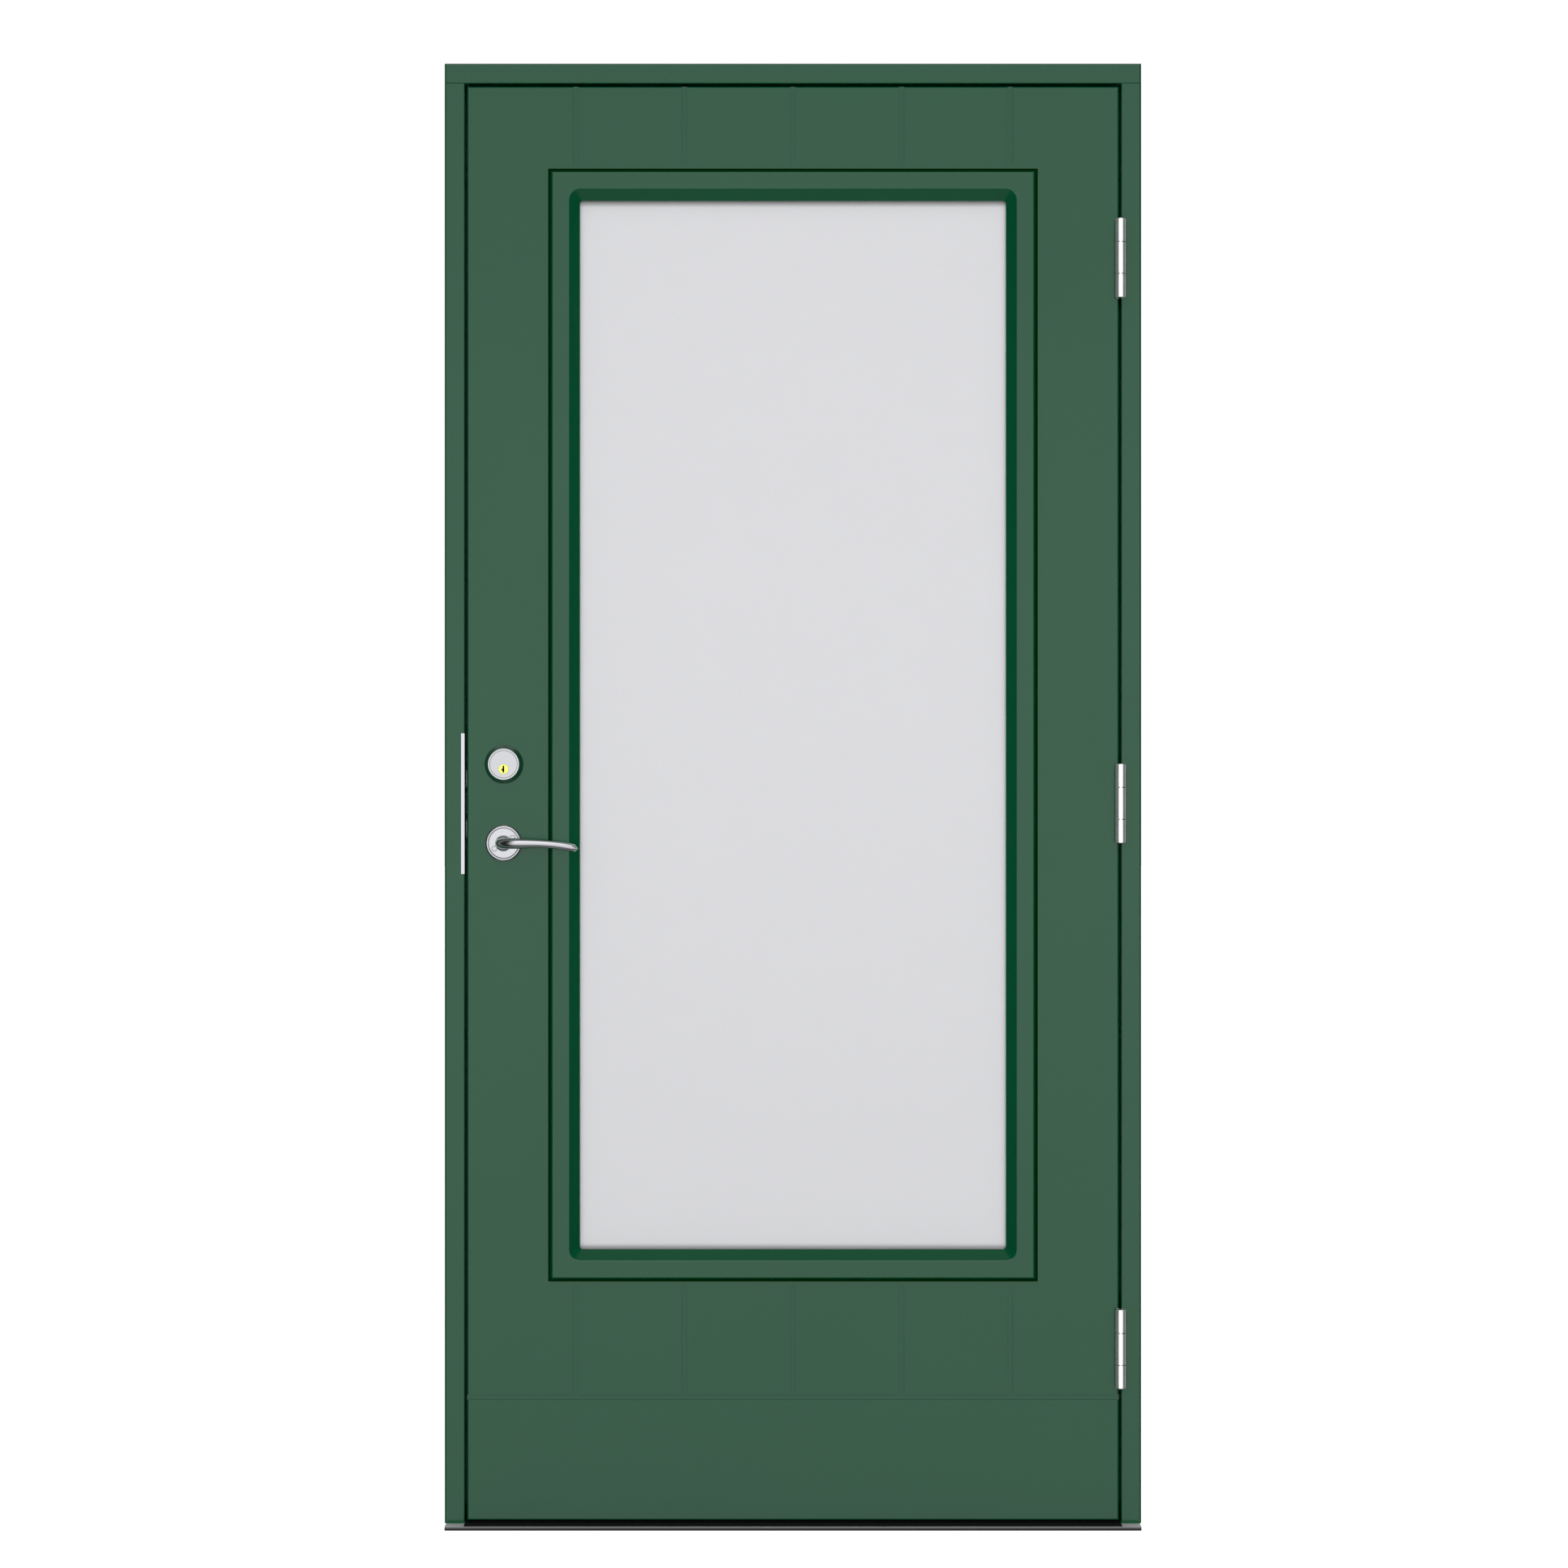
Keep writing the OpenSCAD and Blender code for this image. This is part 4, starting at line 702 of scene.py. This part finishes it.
class FRONTDOOR_OT_roses(bpy.types.Operator):
    """Turn the roses of the lever handles, with a ring groove and a rounded rim"""

    bl_idname = "frontdoor.roses"
    bl_label = "Roses"

    def execute(self, context):
        radius = settings().lever.rose / MM
        bore, thick, rim = 10.1, 8.0, 1.6
        groove, groove_half, groove_deep = 21.6, 0.7, 1.6
        profile = [
            (bore, 0.0),
            (radius, 0.0),
            (radius, thick - rim),
            (radius - rim, thick),
            (groove + groove_half, thick),
            (groove, thick - groove_deep),
            (groove - groove_half, thick),
            (bore, thick),
            (bore, 0.0),
        ]
        cap = [
            (0.0, thick),
            (3.9, thick),
            (3.9, thick + 1.5),
            (3.3, thick + 2.1),
            (1.6, thick + 2.3),
            (0.0, thick + 2.35),
        ]
        screw_out, screw_tilt = 15 * MM, math.radians(31)
        across, up = screw_out * math.cos(screw_tilt), screw_out * math.sin(screw_tilt)
        for node, face, inside in (("outer_rose", OUTER_FACE, False), ("inner_rose", INNER_FACE, True)):
            bm = placed(spun(profile), HANDLE.x, face, HANDLE.z, inside)
            ease_edges(bm, 0.3 * MM, 3)
            finished(f"{node}_disc", bm, chrome(), "leaf", (node,))
            for name, side in (("right", 1), ("left", -1)):
                bm = placed(spun(cap), HANDLE.x + side * across, face, HANDLE.z + side * up, inside)
                finished(f"{node}_screw_cap_{name}", bm, chrome(), "leaf")
        surfaced(chrome(), "lock_screws")
        return {"FINISHED"}


class FRONTDOOR_OT_levers(bpy.types.Operator):
    """Draw the lever handles from neck to pointed tip"""

    bl_idname = "frontdoor.levers"
    bl_label = "Lever Handles"

    def execute(self, context):
        for node, face, inside in (("outer_lever", OUTER_FACE, False), ("inner_lever", INNER_FACE, True)):
            bm = placed(lever_shape(), HANDLE.x, face, HANDLE.z, inside)
            finished(f"{node}_bar", bm, satin_chrome(), "handle", (node,), weighted=False)
        return {"FINISHED"}


def lever_sections():
    """The lever's sections from leaf to tip: centre, turn about Z, half height and half depth, in metres."""
    lever = settings().lever
    neck, bend_radius = lever.neck, lever.bend
    first = bend_radius / lever.reach
    root = bar_section(first)[2]
    bend_from = lever.stand - bend_radius
    journal, journal_foot, rose_top, step_up = 9.9 * MM, 0.6 * MM, 8.4 * MM, 0.2 * MM
    sections = [
        ((0, -journal_foot, 0), 0.0, journal, journal),
        ((0, -rose_top, 0), 0.0, journal, journal),
        ((0, -rose_top - step_up, 0), 0.0, neck, neck),
    ]
    # The neck is rounded off above and below, and at its sides it flows on into the bend
    domes = 5
    dome_end = math.radians(60)
    dome_from = bend_from - lever.dome * math.sin(dome_end)
    for step in range(domes):
        angle = dome_end * step / domes
        size = neck - lever.dome * (1 - math.cos(angle))
        sections.append(((0, -dome_from - lever.dome * math.sin(angle), 0), 0.0, size, neck))
    throat = neck - lever.dome * (1 - math.cos(dome_end))
    bends = 9
    for step in range(bends + 1):
        share = step / bends
        turn = share * math.pi / 2
        height = throat + (root - throat) * share
        depth = neck + (root - neck) * share
        centre = (bend_radius * (1 - math.cos(turn)), -bend_from - bend_radius * math.sin(turn), 0)
        sections.append((centre, turn, height, depth))
    bars = 20
    last = 0.955
    for step in range(1, bars + 1):
        share = first + (last - first) * step / bars
        sections.append(bar_section(share))
    tip_height, tip_depth = 0.1, 0.85
    sections.append(bar_section(1.0, tip_height, tip_depth))
    return sections


def bar_section(share, height=1.0, depth=1.0):
    """The bar's section at a share of its reach, with its height and depth cut down."""
    lever = settings().lever
    bend_start, flare_end, thinning = 0.38, 0.7, 0.2
    bend = max(0.0, (share - bend_start) / (1 - bend_start)) ** 2
    centre = (lever.reach * share, lever.turn_in * bend - lever.stand, -lever.droop * bend)
    flare = max(0.0, 1 - share / flare_end) ** 2
    half = (lever.waist + (lever.bar - lever.waist) * flare) / 2
    return centre, math.pi / 2, half * height, half * (1 - thinning * share) * depth


def lever_shape():
    """A lever about the origin, with its axis on Y and its bar along X, drawn out section by section."""
    sides = 32
    bm = bmesh.new()
    ring = bmesh.ops.create_circle(bm, cap_ends=True, radius=1.0, segments=sides)["verts"]
    edges = list(bm.edges)
    undo = Matrix.Identity(4)
    for index, (centre, turn, height, depth) in enumerate(lever_sections()):
        if index:
            out = bmesh.ops.extrude_edge_only(bm, edges=edges)["geom"]
            ring = [g for g in out if isinstance(g, bmesh.types.BMVert)]
            edges = [g for g in out if isinstance(g, bmesh.types.BMEdge)]
            edges = [e for e in edges if all(v in ring for v in e.verts)]
            bmesh.ops.transform(bm, matrix=undo, verts=ring)
        shape = (
            Matrix.Translation(centre)
            @ Matrix.Rotation(turn, 4, "Z")
            @ Matrix.Rotation(math.pi / 2, 4, "X")
            @ Matrix.Diagonal((depth, height, 1, 1))
        )
        bmesh.ops.transform(bm, matrix=shape, verts=ring)
        undo = shape.inverted()
    bmesh.ops.contextual_create(bm, geom=edges)
    bmesh.ops.recalc_face_normals(bm, faces=bm.faces)
    return bm


class FRONTDOOR_OT_cylinder(bpy.types.Operator):
    """Turn the cylinder's ring and finish its face and the key plug"""

    bl_idname = "frontdoor.cylinder"
    bl_label = "Key Cylinder"

    def execute(self, context):
        bore, foot, front, thick, step, arris = 19.65, 27.5, 22.5, 9.5, 1.0, 0.5
        profile = [
            (bore, 0.0),
            (foot, 0.0),
            (foot, step),
            (front, thick - arris),
            (front - arris, thick),
            (bore, thick),
            (bore, 0.0),
        ]
        bm = placed(spun(profile), CYLINDER.x, OUTER_FACE, CYLINDER.z)
        ease_edges(bm, 0.2 * MM)
        node = "cylinder_ring"
        finished(f"{node}_cone", bm, satin_chrome(), "leaf", (node,))
        eased("cylinder_body", satin_chrome(), 0.3 * MM)
        eased("key_plug", turned_brass(), 0.25 * MM)
        surfaced(chrome(), "cylinder_bolts")
        return {"FINISHED"}


class FRONTDOOR_OT_turn_knob(bpy.types.Operator):
    """Turn the rose of the turn knob and round its grip"""

    bl_idname = "frontdoor.turn_knob"
    bl_label = "Turn Knob"

    def execute(self, context):
        eased("turn_rose", chrome(), 0.6 * MM, 3)
        eased("turn_knob", chrome(), 1.4 * MM, 4)
        return {"FINISHED"}


class FRONTDOOR_OT_stage(bpy.types.Operator):
    """Make the floor, the studio light and the camera"""

    bl_idname = "frontdoor.stage"
    bl_label = "Stage"

    def execute(self, context):
        stage = settings().stage
        self.make_floor(stage)
        self.make_world(stage)
        self.make_key(stage)
        self.make_camera(stage)
        context.scene.view_settings.view_transform = "Standard"
        return {"FINISHED"}

    def make_floor(self, stage):
        """A wide pale floor just under the sill."""
        half_width, drop = 40, 0.5 * MM
        bm = bmesh.new()
        bmesh.ops.create_grid(bm, x_segments=1, y_segments=1, size=half_width)
        bmesh.ops.translate(bm, vec=(0, 0, -drop), verts=bm.verts)
        mesh = bpy.data.meshes.new("floor")
        bm.to_mesh(mesh)
        bm.free()
        floor = bpy.data.objects.new("floor", mesh)
        bpy.context.scene.collection.objects.link(floor)
        mesh.materials.append(material("pale_floor", lambda tree: self.floor_look(tree, stage)))
        floor.visible_glossy = False

    def floor_look(self, tree, stage):
        """Plain white to the eye, and pale for the light that it throws back on the door."""
        seen = add(tree, "ShaderNodeLightPath").outputs["Is Camera Ray"]
        return {
            "Base Color": rgba(stage.floor),
            "Roughness": 0.9,
            "Emission Color": (1, 1, 1, 1),
            "Emission Strength": seen,
        }

    def make_world(self, stage):
        """A studio that is bright in front, above and behind and dim at the sides, on plain white."""
        world = bpy.data.worlds.new("studio")
        bpy.context.scene.world = world
        world.use_nodes = True
        tree = world.node_tree
        tree.nodes.clear()
        way = add(tree, "ShaderNodeTexCoord").outputs["Generated"]
        level = vector_maths(tree, "MULTIPLY", "Vector", way, (1, 1, 0))
        heading = vector_maths(tree, "NORMALIZE", "Vector", level)
        ahead = vector_maths(tree, "DOT_PRODUCT", "Value", heading, (0, -1, 0))
        height = along(tree, way, "Z")
        off_level = maths(tree, "ABSOLUTE", height)
        # The band and the softbox above it fill the front, and the ends are straight above and below
        band = smooth(tree, off_level, 0.9, 0.0, stage.front)
        box_foot = smooth(tree, height, 0.35, 0.6, stage.upper)
        softbox = maths(tree, "MULTIPLY", box_foot, smooth(tree, height, 0.95, 0.8))
        tall = maths(tree, "ADD", band, softbox)
        front = maths(tree, "MULTIPLY", tall, smooth(tree, ahead, 0.5, 0.95))
        back = smooth(tree, ahead, -0.1, -0.7, stage.back)
        ends = smooth(tree, off_level, 0.8, 0.97, stage.ends)
        both = maths(tree, "ADD", front, back)
        dim = maths(tree, "ADD", both, stage.side)
        strength = maths(tree, "ADD", dim, ends)
        lit = add(tree, "ShaderNodeBackground", {"Color": (1, 1, 1.02, 1), "Strength": strength})
        shown = add(tree, "ShaderNodeBackground", {"Color": (1, 1, 1, 1), "Strength": 1.05})
        seen = add(tree, "ShaderNodeLightPath").outputs["Is Camera Ray"]
        links = {0: seen, 1: lit.outputs["Background"], 2: shown.outputs["Background"]}
        mixed = add(tree, "ShaderNodeMixShader", links)
        add(tree, "ShaderNodeOutputWorld", {"Surface": mixed.outputs["Shader"]})

    def make_key(self, stage):
        """A wide soft light in front of the door."""
        key = bpy.data.lights.new("key", "AREA")
        key.shape = "RECTANGLE"
        key.size, key.size_y = 3.2, 2.2
        key.energy = stage.key
        lamp = bpy.data.objects.new("key", key)
        place = Vector((0.2, -4.6, 1.3))
        aim = Vector((0, 0, 1.0)) - place
        turn = aim.to_track_quat("-Z", "Y").to_matrix().to_4x4()
        lamp.matrix_world = Matrix.Translation(place) @ turn
        lamp.visible_glossy = False
        bpy.context.scene.collection.objects.link(lamp)

    def make_camera(self, stage):
        """A camera straight in front of the door."""
        lens = bpy.data.cameras.new("camera")
        lens.lens = stage.lens
        lens.sensor_width = 36
        camera = bpy.data.objects.new("camera", lens)
        camera.location = stage.eye
        camera.rotation_euler = (math.pi / 2, 0, 0)
        bpy.context.scene.collection.objects.link(camera)
        bpy.context.scene.camera = camera


OPERATORS = (
    FRONTDOOR_OT_painted_timber,
    FRONTDOOR_OT_glazing,
    FRONTDOOR_OT_sill,
    FRONTDOOR_OT_hinges,
    FRONTDOOR_OT_lock,
    FRONTDOOR_OT_roses,
    FRONTDOOR_OT_levers,
    FRONTDOOR_OT_cylinder,
    FRONTDOOR_OT_turn_knob,
    FRONTDOOR_OT_stage,
)


class FRONTDOOR_PT_panel(bpy.types.Panel):
    """The door's operators and settings"""

    bl_label = "Front Door"
    bl_idname = "FRONTDOOR_PT_panel"
    bl_space_type = "VIEW_3D"
    bl_region_type = "UI"
    bl_category = "Front Door"

    def draw(self, context):
        for operator in OPERATORS:
            self.layout.operator(operator.bl_idname)
        door = context.scene.front_door
        for group in (door.finishes, door.lever, door.stage):
            box = self.layout.box()
            for name in group.bl_rna.properties.keys():
                if name not in ("rna_type", "name"):
                    box.prop(group, name)


CLASSES = (
    FRONTDOOR_PG_finishes,
    FRONTDOOR_PG_lever,
    FRONTDOOR_PG_stage,
    FRONTDOOR_PG_settings,
    *OPERATORS,
    FRONTDOOR_PT_panel,
)


def register():
    """Registers the classes and puts the settings on the scene."""
    for entry in CLASSES:
        bpy.utils.register_class(entry)
    bpy.types.Scene.front_door = bpy.props.PointerProperty(type=FRONTDOOR_PG_settings)


def unregister():
    """Takes the settings and classes away again."""
    del bpy.types.Scene.front_door
    for entry in reversed(CLASSES):
        bpy.utils.unregister_class(entry)


def main():
    """Makes every piece."""
    register()
    bpy.ops.frontdoor.painted_timber()
    bpy.ops.frontdoor.glazing()
    bpy.ops.frontdoor.sill()
    bpy.ops.frontdoor.hinges()
    bpy.ops.frontdoor.lock()
    bpy.ops.frontdoor.roses()
    bpy.ops.frontdoor.levers()
    bpy.ops.frontdoor.cylinder()
    bpy.ops.frontdoor.turn_knob()
    bpy.ops.frontdoor.stage()


if __name__ == "__main__":
    main()
